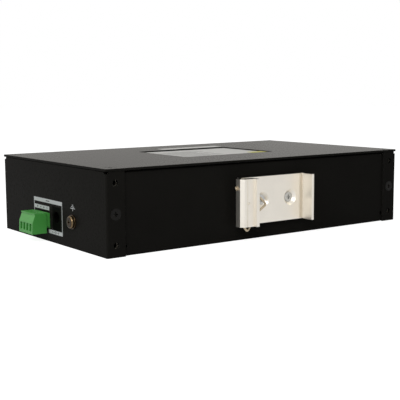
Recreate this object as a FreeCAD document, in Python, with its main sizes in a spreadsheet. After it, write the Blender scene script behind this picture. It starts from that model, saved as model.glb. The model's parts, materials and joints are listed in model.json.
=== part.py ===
import FreeCAD, Part

import math
import operator
import os
from types import SimpleNamespace

import Sketcher

# A network switch in a folded steel box, with a clip for a 35 mm rail on its back wall.
# Millimetres. The origin is the middle of the box's underside, +Z up. X runs along the box: the
# power end is -X. The rail clip is on the -Y wall, and the network ports are in the +Y wall.

SIZES = {
    # box of folded sheet
    "enclosure_length": 206.0,
    "enclosure_depth": 119.0,
    "enclosure_height": 44.0,
    "sheet_thickness": 1.0,
    "bend_radius": 1.2,
    "return_width": 8.0,
    "return_setback": 1.0,
    "wall_clearance": 0.3,
    "cover_thickness": 1.2,
    "cover_overhang": 0.3,
    "cover_gap": 0.4,
    "cover_corner_radius": 0.8,
    "cover_edge_radius": 0.3,
    # end caps
    "flange_width": 10.5,
    "flange_lift": 0.05,
    "cap_bend_radius": 0.8,
    "corner_relief": 1.4,
    "flange_hole_radius": 1.6,
    "flange_hole_inset": 5.2,
    "flange_hole_margin": 6.5,
    "mid_drop": 0.5,
    "tooling_hole_radius": 1.2,
    "tooling_hole_height": 5.0,
    # label recess pressed into the cover
    "recess_length": 64.5,
    "recess_depth": 50.0,
    "recess_drop": 0.7,
    "recess_wall": 0.6,
    "recess_corner_radius": 1.5,
    "recess_lip_radius": 0.3,
    "recess_offset_x": 1.5,
    "recess_offset_y": 1.0,
    "label_thickness": 0.15,
    "label_margin_x": 0.9,
    "label_margin_y": 2.0,
    "seal_length": 10.5,
    "seal_width": 7.0,
    "seal_margin": 2.0,
    "strip_label_length": 46.0,
    "strip_label_width": 9.0,
    "strip_label_x": 12.0,
    "strip_label_y": 32.0,
    # fasteners
    "thread_radius": 1.5,
    "thread_clearance": 0.05,
    "screw_length": 6.0,
    "head_rim": 0.15,
    "cover_head_radius": 3.0,
    "cap_head_radius": 2.9,
    "clip_head_radius": 2.75,
    "head_clearance": 0.05,
    "recess_arm": 1.3,
    "recess_arm_width": 0.7,
    "recess_arm_depth": 1.1,
    "cover_screw_inset_x": 5.4,
    "cover_screw_inset_y": 5.0,
    "nut_radius": 2.8,
    "nut_thickness": 1.5,
    "nut_hole_radius": 2.15,
    # rail clip, an aluminium extrusion: heights are above the back wall
    "clip_length": 25.7,
    "clip_rise": 0.1,
    "clip_foot_left": 21.5,
    "clip_foot_right": 24.8,
    "clip_base_thickness": 3.2,
    "clip_corner_radius": 0.3,
    "hook_height": 11.8,
    "hook_thickness": 2.2,
    "hook_chamfer": 0.8,
    "rail_groove_depth": 1.0,
    "rail_groove_width": 1.5,
    "block_outer": 26.0,
    "block_foot_height": 2.2,
    "block_low": 4.7,
    "block_high": 8.2,
    "block_shoulder": 1.8,
    "block_front": 10.0,
    "block_ridge_height": 11.9,
    "block_inner": 15.4,
    "ridge_thickness": 2.4,
    "slot_height": 2.4,
    "slot_end": 22.6,
    "slot_mouth_inset": 0.6,
    "slot_foot_inset": 0.5,
    "ridge_draft": 0.3,
    "score_width": 0.4,
    "score_depth": 0.3,
    "score_x": 22.3,
    "dimple_x": 21.3,
    "dimple_radius": 0.65,
    "dimple_depth": 0.6,
    "clip_screw_right": 13.9,
    "clip_screw_spacing": 20.0,
    "clip_bore_radius": 1.7,
    "clip_sink_radius": 4.35,
    # wire spring of the clip
    "wire_radius": 0.6,
    "wire_height": 4.75,
    "wire_hole_radius": 0.85,
    "wire_hole_rise": 21.25,
    "wire_stand_off": 0.75,
    "wire_hook_drop": 1.1,
    "wire_hook_rise": 1.7,
    "wire_knee_x": 17.6,
    "wire_tip_x": 4.8,
    "wire_tip_rise": 10.45,
    "wire_bend_radius": 1.0,
    "wire_rest_inset": 1.6,
    "wire_rest_rise": 3.0,
    "wire_drop_inset": 0.8,
    "wire_drop_fall": 0.4,
    "wire_loop_inset": 2.9,
    "wire_loop_fall": 3.4,
    "wire_return_inset": 5.8,
    "wire_end_rise": 4.2,
    # board and what holds it
    "board_thickness": 1.6,
    "board_end_gap": 1.0,
    "component_grid": 1.0,
    "board_front": 55.5,
    "board_back": 50.0,
    "standoff_height": 4.6,
    "standoff_radius": 2.75,
    "standoff_x": 95.0,
    "standoff_back": 44.0,
    "standoff_front": 48.0,
    "standoff_mid_x": -7.5,
    "standoff_mid_front": 29.0,
    "board_screw_head_radius": 2.75,
    "board_screw_head_height": 1.9,
    # network sockets: two blocks of four
    "port_pitch": 13.97,
    "block_side_wall": 2.295,
    "socket_block_height": 13.6,
    "socket_block_depth": 21.3,
    "front_reach": 0.5,
    "left_block_x": -38.05,
    "right_block_x": 23.25,
    "socket_width": 11.8,
    "socket_opening": 6.8,
    "socket_floor": 2.6,
    "socket_depth": 13.0,
    "latch_width": 6.1,
    "latch_depth": 1.6,
    "contact_pitch": 1.02,
    "contact_width": 0.45,
    "contact_thickness": 0.3,
    "contact_length": 7.5,
    "contact_drop": 1.3,
    "contact_roof_gap": 0.4,
    "lamp_window_width": 3.0,
    "lamp_window_height": 1.8,
    "lamp_window_depth": 0.4,
    "cut_out_gap": 0.2,
    # fibre module cages
    "cage_width": 14.2,
    "cage_height": 9.4,
    "cage_length": 48.0,
    "cage_wall": 0.4,
    "inner_cage_x": 67.1,
    "outer_cage_x": 84.1,
    "module_connector_width": 12.0,
    "module_connector_height": 6.0,
    "module_connector_length": 8.5,
    "card_slot_margin": 1.0,
    "card_slot_height": 1.2,
    "card_slot_wall": 1.5,
    # light pipes of the status lamps
    "pipe_radius": 1.0,
    "pipe_pitch": 4.0,
    "pipe_row_height": 5.0,
    "pipe_base_height": 3.6,
    "pipe_block_x": -77.0,
    "pipe_block_length": 16.0,
    "pipe_block_depth": 6.0,
    "pipe_block_height": 11.0,
    "lamp_size": 1.6,
    "lamp_height": 0.9,
    "lamp_gap": 1.0,
    # power terminal
    "pole_pitch": 3.81,
    "plug_width": 16.6,
    "plug_y": 10.6,
    "plug_keel": 3.45,
    "plug_height": 11.15,
    "plug_reach": 10.3,
    "plug_shoulder_height": 6.35,
    "plug_shoulder_setback": 0.3,
    "plug_slope_setback": 2.0,
    "plug_brow_setback": 1.5,
    "plug_brow_height": 0.6,
    "plug_seat_gap": 0.65,
    "tongue_width": 15.4,
    "tongue_height": 6.4,
    "tongue_length": 7.1,
    "tongue_clearance": 0.25,
    "header_projection": 1.1,
    "header_lip_notch": 1.0,
    "header_wall": 0.75,
    "header_floor": 2.5,
    "header_bottom_gap": 0.3,
    "pin_size": 1.0,
    "pin_reach": 4.3,
    "pin_offset": 0.7,
    "pin_hole_radius": 0.75,
    "wire_slot_width": 2.4,
    "wire_slot_height": 4.0,
    "wire_slot_lift": 1.55,
    "clamp_centre": 4.8,
    "chamber_length": 3.2,
    "chamber_width": 3.0,
    "chamber_floor": 0.95,
    "chamber_roof": 1.6,
    "clamp_cage_length": 3.0,
    "clamp_cage_width": 2.8,
    "clamp_cage_height": 6.7,
    "clamp_cage_side": 0.35,
    "clamp_cage_top": 1.0,
    "clamp_cage_floor": 0.7,
    "clamp_cage_gap": 0.2,
    "clamp_screw_radius": 1.0,
    "clamp_screw_clearance": 0.08,
    "clamp_head_radius": 1.3,
    "clamp_head_height": 0.85,
    "clamp_head_sink": 0.3,
    "clamp_head_clearance": 0.1,
    "clamp_ledge": 0.4,
    "driver_slot_width": 0.5,
    "driver_slot_depth": 0.45,
    "strip_width": 1.6,
    "strip_thickness": 0.5,
    "tulip_size": 2.0,
    "tulip_wall": 0.4,
    "tulip_length": 5.7,
    # power jack
    "jack_y": -6.1,
    "jack_width": 9.2,
    "jack_height": 12.4,
    "jack_length": 14.0,
    "jack_hole_radius": 3.1,
    "jack_hole_height": 7.0,
    "jack_hole_depth": 9.5,
    "jack_pin_radius": 1.0,
    "jack_pin_setback": 4.5,
    # ground terminal
    "ground_y": -24.7,
    "ground_height": 14.1,
    "ground_thread_radius": 2.0,
    "ground_head_radius": 3.3,
    "ground_head_height": 1.7,
    "ground_head_rounding": 1.0,
    "ground_screw_length": 8.0,
    "washer_radius": 3.7,
    "washer_thickness": 0.8,
    "ground_nut_radius": 4.0,
    "ground_nut_thickness": 2.4,
    # heatsink on the switch chip
    "chip_size": 22.0,
    "chip_height": 1.8,
    "chip_x": 2.0,
    "chip_y": -12.0,
    "sink_size": 30.0,
    "sink_base": 3.0,
    "sink_height": 14.0,
    "fin_pitch": 3.4,
    "fin_thickness": 1.2,
}

NEAR = 1e-4
FINS = 9
POLES = 4
PORTS_PER_BLOCK = 4
CONTACTS_PER_PORT = 8
REAR = (0, -1, 0)
FRONT = (0, 1, 0)
LEFT = (-1, 0, 0)
UP = (0, 0, 1)
DOWN = (0, 0, -1)
RIGHT = (1, 0, 0)

OPERATIONS = {"+": operator.add, "-": operator.sub, "*": operator.mul, "/": operator.truediv}


class Size:
    """A length that carries its number and the expression that works it out from the sheet."""

    def __init__(self, number, text):
        self.number = number
        self.text = text

    def __add__(self, other):
        return combined(self, "+", other)

    def __radd__(self, other):
        return combined(other, "+", self)

    def __sub__(self, other):
        return combined(self, "-", other)

    def __rsub__(self, other):
        return combined(other, "-", self)

    def __mul__(self, other):
        return combined(self, "*", other)

    def __rmul__(self, other):
        return combined(other, "*", self)

    def __truediv__(self, other):
        return combined(self, "/", other)

    def __neg__(self):
        return combined(0, "-", self)


def as_size(value):
    return value if isinstance(value, Size) else Size(float(value), f"({float(value)})")


def combined(left, sign, right):
    left = as_size(left)
    right = as_size(right)
    number = OPERATIONS[sign](left.number, right.number)
    return Size(number, f"({left.text} {sign} {right.text})")


doc = FreeCAD.newDocument("network_switch")
sheet = doc.addObject("Spreadsheet::Sheet", "Sizes")
for row, (name, value) in enumerate(SIZES.items(), start=1):
    sheet.set(f"A{row}", name)
    sheet.set(f"B{row}", str(value))
    sheet.setAlias(f"B{row}", name)
doc.recompute()
mm = SimpleNamespace(**{name: Size(float(sheet.get(name)), f"Sizes.{name}") for name in SIZES})

# Planes and lines that several pieces share.
half_length = mm.enclosure_length / 2
half_depth = mm.enclosure_depth / 2
cover_seat = mm.enclosure_height - mm.cover_thickness
cap_inside = half_length - mm.sheet_thickness
cap_edge = half_length - mm.flange_width
wall_face = half_depth - mm.sheet_thickness
wall_inside = wall_face - mm.sheet_thickness
tray_end = cap_inside - mm.wall_clearance
tray_top = cover_seat - mm.cover_gap
return_end = cap_edge - mm.return_setback
flange_hole_x = half_length - mm.flange_hole_inset
mid_height = mm.enclosure_height / 2 - mm.mid_drop
flange_hole_spacing = mm.enclosure_height - 2 * mm.flange_hole_margin
flange_hole_heights = (mid_height - flange_hole_spacing / 2, mid_height + flange_hole_spacing / 2)
cover_screw_x = half_length - mm.cover_screw_inset_x
cover_screw_y = half_depth - mm.cover_screw_inset_y
recess_floor = mm.enclosure_height - mm.recess_drop
board_bottom = mm.sheet_thickness + mm.standoff_height
board_top = board_bottom + mm.board_thickness
board_end = cap_inside - mm.board_end_gap
front_line = wall_face + mm.front_reach
clip_bottom = mid_height + mm.clip_rise - mm.clip_length / 2
clip_top = clip_bottom + mm.clip_length
wire_hole_height = clip_bottom + mm.wire_hole_rise
clip_screw_left = mm.clip_screw_right - mm.clip_screw_spacing
block_width = (PORTS_PER_BLOCK - 1) * mm.port_pitch + mm.socket_width + 2 * mm.block_side_wall
socket_bottom = board_top + mm.socket_floor
socket_top = socket_bottom + mm.socket_opening
socket_back = front_line - mm.socket_depth
tongue_bottom = board_top + mm.header_wall + mm.tongue_clearance
tongue_top = tongue_bottom + mm.tongue_height
plug_bottom = tongue_bottom - mm.plug_keel
plug_top = plug_bottom + mm.plug_height
plug_back = mm.header_projection + mm.plug_seat_gap
chamber_bottom = plug_bottom + mm.chamber_floor
chamber_top = plug_top - mm.chamber_roof
header_cavity = mm.tongue_width + 2 * mm.tongue_clearance
header_width = header_cavity + 2 * mm.header_wall
header_top = tongue_top + mm.tongue_clearance + mm.header_wall
header_floor_face = mm.header_bottom_gap + mm.tongue_length - plug_back
header_back = header_floor_face + mm.header_floor
pin_height = (tongue_bottom + tongue_top) / 2
jack_centre_height = board_top + mm.jack_hole_height


def bind(item, path, value):
    item.setExpression(path, as_size(value).text)


def outward(distance):
    """X of a plane that lies a distance outside the face of the left end cap."""
    return -half_length - distance


def behind(height):
    """Y of a plane that lies a height above the back wall, where the clip sits."""
    return -wall_face - height


def mirrored(side, near, far):
    """The span from near to far on the +X side, or its mirror image, low end first."""
    return (near, far) if side > 0 else (-far, -near)


def body(name):
    return doc.addObject("PartDesign::Body", name)


def box(owner, name, x, y, z, cut=False):
    kind = "PartDesign::SubtractiveBox" if cut else "PartDesign::AdditiveBox"
    item = owner.newObject(kind, name)
    for axis, length, (low, high) in zip("xyz", ("Length", "Width", "Height"), (x, y, z)):
        bind(item, length, high - low)
        bind(item, f"Placement.Base.{axis}", low)
    return item


def turned(direction):
    """The rotation that points an item's own Z axis in a direction."""
    return FreeCAD.Rotation(FreeCAD.Vector(*UP), FreeCAD.Vector(*direction))


def stand(item, start, direction):
    item.Placement = FreeCAD.Placement(FreeCAD.Vector(), turned(direction))
    for axis, position in zip("xyz", start):
        bind(item, f"Placement.Base.{axis}", position)
    return item


def rod(owner, name, start, direction, radius, length, cut=False):
    kind = "PartDesign::SubtractiveCylinder" if cut else "PartDesign::AdditiveCylinder"
    item = owner.newObject(kind, name)
    bind(item, "Radius", radius)
    bind(item, "Height", length)
    return stand(item, start, direction)


def sink(owner, name, start, direction, radius, depth):
    """A 90 degree countersink that narrows from its mouth."""
    item = owner.newObject("PartDesign::SubtractiveCone", name)
    bind(item, "Radius1", radius)
    bind(item, "Radius2", radius - depth)
    bind(item, "Height", depth)
    return stand(item, start, direction)


def sink_mouth(head_radius):
    """Radius of a countersink whose screw head lies just below the surface and clear of the cone."""
    return head_radius + mm.head_rim + 2 * mm.head_clearance


def sketch(owner, name, plane, points, lift):
    """A closed outline of straight lines. Its corners are held by distances from the origin."""
    item = owner.newObject("Sketcher::SketchObject", name)
    role = f"{plane}_Plane"
    support = next(feature for feature in owner.Origin.OriginFeatures if feature.Role == role)
    item.AttachmentSupport = [(support, "")]
    item.MapMode = "FlatFace"
    bind(item, "AttachmentOffset.Base.z", lift)
    corners = [(as_size(u), as_size(v)) for u, v in points]
    spots = [FreeCAD.Vector(u.number, v.number, 0) for u, v in corners]
    count = len(corners)
    for index in range(count):
        item.addGeometry(Part.LineSegment(spots[index], spots[(index + 1) % count]), False)
    for index in range(count):
        item.addConstraint(Sketcher.Constraint("Coincident", index, 2, (index + 1) % count, 1))
    for index, corner in enumerate(corners):
        for kind, distance in zip(("DistanceX", "DistanceY"), corner):
            number = item.addConstraint(Sketcher.Constraint(kind, -1, 1, index, 1, distance.number))
            bind(item, f"Constraints[{number}]", distance)
    return item


def prism(owner, name, plane, points, low, high, cut=False):
    """An outline carried from low to high along the plane's normal axis, added or cut away."""
    lift = -high if plane == "XZ" else low
    profile = sketch(owner, f"{name}_outline", plane, points, lift)
    item = owner.newObject("PartDesign::Pocket" if cut else "PartDesign::Pad", name)
    item.Profile = profile
    item.Reversed = cut
    bind(item, "Length", high - low)
    return item


def turning(owner, name, points):
    """A profile in the XZ plane turned round the body's own Z axis."""
    item = owner.newObject("PartDesign::Revolution", name)
    profile = sketch(owner, f"{name}_profile", "XZ", points, 0)
    item.Profile = profile
    item.ReferenceAxis = (profile, ["V_Axis"])
    item.Angle = 360
    owner.Tip = item
    return item


def rectangle(across, along):
    """Corners of a rectangle from two spans."""
    return [(across[0], along[0]), (across[1], along[0]), (across[1], along[1]), (across[0], along[1])]


def around(centre, width):
    """The span of a width about a centre."""
    return (centre - width / 2, centre + width / 2)


def edge_names(shape, spots):
    """Names of the edges whose middle lies at one of the spots. None stands for any value."""
    names = []
    for number, edge in enumerate(shape.Edges, start=1):
        middle = edge.BoundBox.Center
        for spot in spots:
            pairs = zip(spot, middle)
            if all(want is None or abs(as_size(want).number - have) < NEAR for want, have in pairs):
                names.append(f"Edge{number}")
                break
    return names


def dress(owner, kind, name, size_name, amount, spots):
    """A fillet or chamfer on the edges of the body's last feature that lie at the spots."""
    doc.recompute()
    base = owner.Tip
    names = edge_names(base.Shape, spots)
    if not names:
        raise ValueError(f"{owner.Name}: no edge found for {name}")
    item = owner.newObject(kind, name)
    item.Base = (base, names)
    bind(item, size_name, amount)
    return item


def fillet(owner, name, radius, spots):
    return dress(owner, "PartDesign::Fillet", name, "Radius", radius, spots)


def repeat(owner, name, features, axis, pitch, count):
    """Copies of features in a row along one axis of the body."""
    item = owner.newObject("PartDesign::LinearPattern", name)
    item.Originals = features
    role = f"{axis}_Axis"
    line = next(feature for feature in owner.Origin.OriginFeatures if feature.Role == role)
    item.Direction = (line, [""])
    item.Mode = "Spacing"
    bind(item, "Offset", pitch)
    item.Occurrences = count
    owner.Tip = item
    return item


def group(name, items):
    """Identical pieces, each its own solid, kept together under one name."""
    bundle = doc.addObject("Part::Compound", name)
    bundle.Links = items
    return bundle


# --- folded sheet -----------------------------------------------------------------------------


def chassis_tray():
    """The bottom, back wall and front wall, folded from one sheet, with inward returns on top."""
    tray = body("chassis_tray")
    return_bottom = tray_top - mm.sheet_thickness
    return_edge = wall_face - mm.return_width
    front_half = [
        (wall_face, 0),
        (wall_face, tray_top),
        (return_edge, tray_top),
        (return_edge, return_bottom),
        (wall_inside, return_bottom),
        (wall_inside, mm.sheet_thickness),
    ]
    back_half = [(-y, z) for y, z in reversed(front_half)]
    prism(tray, "folded_sheet", "YZ", front_half + back_half, -tray_end, tray_end)
    bends = [(None, side * wall_face, z) for side in (-1, 1) for z in (0, tray_top)]
    fillet(tray, "outer_bends", mm.bend_radius, bends)
    heights = (mm.sheet_thickness, return_bottom)
    creases = [(None, side * wall_inside, z) for side in (-1, 1) for z in heights]
    fillet(tray, "inner_bends", mm.bend_radius - mm.sheet_thickness, creases)
    for side in (-1, 1):
        span = mirrored(side, return_end, tray_end)
        relief = (tray_top - mm.bend_radius, tray_top)
        box(tray, f"return_relief_{side + 2}", span, (-wall_face, wall_face), relief, cut=True)
    wall_holes(tray)
    port_windows(tray)
    return tray


def wall_holes(tray):
    """Holes for the sheet nuts in both walls, for the clip's nuts, and the tooling holes behind."""
    heights = (*flange_hole_heights, mid_height)
    for side in (-1, 1):
        for number, height in enumerate(heights, start=1):
            start = (side * flange_hole_x, -wall_face, height)
            name = f"nut_hole_{side + 2}_{number}"
            rod(tray, name, start, FRONT, mm.nut_hole_radius, 2 * wall_face, cut=True)
        start = (side * (cap_edge - mm.wall_clearance), -wall_face, mm.tooling_hole_height)
        name = f"tooling_hole_{side + 2}"
        rod(tray, name, start, FRONT, mm.tooling_hole_radius, mm.sheet_thickness, cut=True)
    for number, x in enumerate((clip_screw_left, mm.clip_screw_right), start=1):
        start = (x, -wall_face, mid_height)
        rod(tray, f"clip_nut_hole_{number}", start, FRONT, mm.nut_hole_radius, mm.sheet_thickness, cut=True)


def port_windows(tray):
    """Windows in the front wall for the socket blocks, the module cages and the light pipes."""
    wall = (wall_inside, wall_face)
    gap = mm.cut_out_gap
    for number, x in enumerate((mm.left_block_x, mm.right_block_x), start=1):
        across = around(x, block_width + 2 * gap)
        up = (board_top - gap, board_top + mm.socket_block_height + gap)
        prism(tray, f"socket_window_{number}", "XZ", rectangle(across, up), *wall, cut=True)
    for number, x in enumerate((mm.inner_cage_x, mm.outer_cage_x), start=1):
        across = around(x, mm.cage_width + 2 * gap)
        up = (board_top - gap, board_top + mm.cage_height + gap)
        prism(tray, f"cage_window_{number}", "XZ", rectangle(across, up), *wall, cut=True)
    for row in range(2):
        height = board_top + mm.pipe_base_height + row * mm.pipe_row_height
        for column in range(4):
            x = mm.pipe_block_x + (column - 1.5) * mm.pipe_pitch
            start = (x, wall_inside, height)
            name = f"pipe_hole_{row}_{column}"
            rod(tray, name, start, FRONT, mm.pipe_radius + gap, mm.sheet_thickness, cut=True)


def end_cap(name, side):
    """A channel of folded sheet that closes one end, with flanges over both walls and a top flange."""
    cap = body(name)
    section = [
        (side * half_length, -half_depth),
        (side * half_length, half_depth),
        (side * cap_edge, half_depth),
        (side * cap_edge, wall_face),
        (side * cap_inside, wall_face),
        (side * cap_inside, -wall_face),
        (side * cap_edge, -wall_face),
        (side * cap_edge, -half_depth),
    ]
    prism(cap, "channel", "XY", section, mm.flange_lift, cover_seat)
    corners = [(side * half_length, y, None) for y in (-half_depth, half_depth)]
    fillet(cap, "side_bends", mm.cap_bend_radius, corners)
    top_edge = wall_inside - mm.wall_clearance
    top = (cover_seat - mm.sheet_thickness, cover_seat)
    box(cap, "top_flange", mirrored(side, cap_edge, half_length), (-top_edge, top_edge), top)
    notch_x = mirrored(side, half_length - mm.corner_relief, half_length)
    notch_z = (cover_seat - mm.corner_relief, cover_seat)
    for number, span in enumerate(((-half_depth, -top_edge), (top_edge, half_depth)), start=1):
        box(cap, f"corner_notch_{number}", notch_x, span, notch_z, cut=True)
    fillet(cap, "top_bend", mm.cap_bend_radius, [(side * half_length, 0, cover_seat)])
    for number, height in enumerate(flange_hole_heights, start=1):
        start = (side * flange_hole_x, -half_depth, height)
        rod(cap, f"flange_holes_{number}", start, FRONT, mm.flange_hole_radius, mm.enclosure_depth, cut=True)
    mouth = sink_mouth(mm.cap_head_radius)
    for number, (y, inward) in enumerate(((-half_depth, FRONT), (half_depth, REAR)), start=1):
        start = (side * flange_hole_x, y, mid_height)
        sink(cap, f"screw_sink_{number}", start, inward, mouth, mm.sheet_thickness)
    for number, y in enumerate((-cover_screw_y, cover_screw_y), start=1):
        start = (side * cover_screw_x, y, cover_seat)
        rod(cap, f"cover_nut_hole_{number}", start, DOWN, mm.nut_hole_radius, mm.sheet_thickness, cut=True)
    return cap


def left_end_cap():
    """The power end: an end cap with windows for the terminal and the jack, and the ground hole."""
    cap = end_cap("left_end_cap", -1)
    gap = mm.cut_out_gap
    plate = (-half_length, -cap_inside)
    terminal = rectangle(around(mm.plug_y, header_width + 2 * gap), (board_top - gap, header_top + gap))
    prism(cap, "terminal_window", "YZ", terminal, *plate, cut=True)
    jack_up = (board_top - gap, board_top + mm.jack_height + gap)
    jack = rectangle(around(mm.jack_y, mm.jack_width + 2 * gap), jack_up)
    prism(cap, "jack_window", "YZ", jack, *plate, cut=True)
    start = (-half_length, mm.ground_y, mm.ground_height)
    rod(cap, "ground_hole", start, RIGHT, mm.ground_thread_radius + gap, mm.sheet_thickness, cut=True)
    return cap


def cover_plate():
    """The flat cover, with countersunk screw holes and a shallow label recess pressed into it."""
    cover = body("cover_plate")
    edge_x = half_length + mm.cover_overhang
    edge_y = half_depth + mm.cover_overhang
    outline = rectangle((-edge_x, edge_x), (-edge_y, edge_y))
    prism(cover, "plate", "XY", outline, cover_seat, mm.enclosure_height)
    corners = [(x, y, None) for x in (-edge_x, edge_x) for y in (-edge_y, edge_y)]
    fillet(cover, "corners", mm.cover_corner_radius, corners)
    top = mm.enclosure_height
    rim = [(0, -edge_y, top), (0, edge_y, top), (-edge_x, 0, top), (edge_x, 0, top)]
    fillet(cover, "rim", mm.cover_edge_radius, rim)
    across = around(mm.recess_offset_x, mm.recess_length)
    along = around(mm.recess_offset_y, mm.recess_depth)
    bulge_x = (across[0] - mm.recess_wall, across[1] + mm.recess_wall)
    bulge_y = (along[0] - mm.recess_wall, along[1] + mm.recess_wall)
    box(cover, "recess_back", bulge_x, bulge_y, (cover_seat - mm.recess_drop, cover_seat))
    box(cover, "recess", across, along, (recess_floor, top), cut=True)
    inside = [(x, y, (recess_floor + top) / 2) for x in across for y in along]
    fillet(cover, "recess_corners", mm.recess_corner_radius, inside)
    fillet(cover, "recess_lip", mm.recess_lip_radius, [(mm.recess_offset_x, along[0], top)])
    mouth = sink_mouth(mm.cover_head_radius)
    spots = [(x, y) for x in (-cover_screw_x, cover_screw_x) for y in (-cover_screw_y, cover_screw_y)]
    for number, (x, y) in enumerate(spots, start=1):
        sink(cover, f"screw_sink_{number}", (x, y, top), DOWN, mouth, mm.cover_thickness)
    return cover


# --- labels -----------------------------------------------------------------------------------


def labels():
    """A rating label in the recess, a seal sticker on its corner, and a strip on the cover."""
    rating = body("rating_label")
    across = around(mm.recess_offset_x, mm.recess_length - 2 * mm.label_margin_x)
    along = around(mm.recess_offset_y, mm.recess_depth - 2 * mm.label_margin_y)
    label_top = recess_floor + mm.label_thickness
    prism(rating, "sheet", "XY", rectangle(across, along), recess_floor, label_top)
    seal = body("seal_sticker")
    seal_x = (across[1] - mm.seal_length, across[1])
    seal_y = (along[0] + mm.seal_margin, along[0] + mm.seal_margin + mm.seal_width)
    prism(seal, "sheet", "XY", rectangle(seal_x, seal_y), label_top, label_top + mm.label_thickness)
    strip = body("strip_label")
    strip_outline = rectangle(
        around(mm.strip_label_x, mm.strip_label_length), around(mm.strip_label_y, mm.strip_label_width)
    )
    top = mm.enclosure_height
    prism(strip, "sheet", "XY", strip_outline, top, top + mm.label_thickness)
    return [rating, seal, strip]


# --- fasteners --------------------------------------------------------------------------------


def cross_recess(screw):
    """The crossed slots of the driver recess, cut from the head's top."""
    reach = (-mm.recess_arm, mm.recess_arm)
    width = around(0, mm.recess_arm_width)
    depth = (-mm.recess_arm_depth, 0)
    box(screw, "recess_along", reach, width, depth, cut=True)
    box(screw, "recess_across", width, reach, depth, cut=True)


def countersunk_screw(name, head_radius, spot, direction):
    """A countersunk M3 screw whose head's face lies at the spot and looks in the direction."""
    screw = body(name)
    thread = mm.thread_radius
    profile = [
        (0, 0),
        (head_radius, 0),
        (head_radius, -mm.head_rim),
        (thread, thread - head_radius - mm.head_rim),
        (thread, -mm.screw_length),
        (0, -mm.screw_length),
    ]
    turning(screw, "blank", profile)
    cross_recess(screw)
    return stand(screw, spot, direction)


def hexagon(radius):
    """Corners of a hexagon from the radius on which they lie."""
    angles = [math.radians(60 * side) for side in range(6)]
    return [(radius * math.cos(angle), radius * math.sin(angle)) for angle in angles]


def nut(name, spot, direction, radius, thickness, thread):
    """A hexagonal nut fixed to a sheet: the spot is in the sheet's face and the nut lies behind it."""
    piece = body(name)
    prism(piece, "hexagon", "XY", hexagon(radius), -thickness, 0)
    bore = thread + mm.thread_clearance
    rod(piece, "thread", (0, 0, -thickness), UP, bore, thickness, cut=True)
    return stand(piece, spot, direction)


def sheet_nut(name, spot, direction):
    """An M3 nut on the inner face of a sheet, behind a screw hole."""
    return nut(name, spot, direction, mm.nut_radius, mm.nut_thickness, mm.thread_radius)


def cover_fasteners():
    """Four countersunk screws through the cover and their nuts under the end caps' top flanges."""
    spots = [(x, y) for x in (-cover_screw_x, cover_screw_x) for y in (-cover_screw_y, cover_screw_y)]
    screws = []
    nuts = []
    for number, (x, y) in enumerate(spots, start=1):
        seat = mm.enclosure_height - mm.head_clearance
        screws.append(countersunk_screw(f"cover_screw_{number}", mm.cover_head_radius, (x, y, seat), UP))
        under = cover_seat - mm.sheet_thickness
        nuts.append(sheet_nut(f"cover_nut_{number}", (x, y, under), UP))
    return [group("cover_screws", screws), group("cover_nuts", nuts)]


def wall_fasteners():
    """The end caps' screws, and the nuts behind them and behind the flanges' mounting holes."""
    screws = []
    nuts = []
    for wall, face in ((-1, REAR), (1, FRONT)):
        for side in (-1, 1):
            x = side * flange_hole_x
            seat = wall * (half_depth - mm.head_clearance)
            number = len(screws) + 1
            spot = (x, seat, mid_height)
            screws.append(countersunk_screw(f"end_cap_screw_{number}", mm.cap_head_radius, spot, face))
            for height in (*flange_hole_heights, mid_height):
                spot = (x, wall * wall_inside, height)
                nuts.append(sheet_nut(f"wall_nut_{len(nuts) + 1}", spot, face))
    return [group("end_cap_screws", screws), group("wall_nuts", nuts)]


# --- rail clip --------------------------------------------------------------------------------


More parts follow.
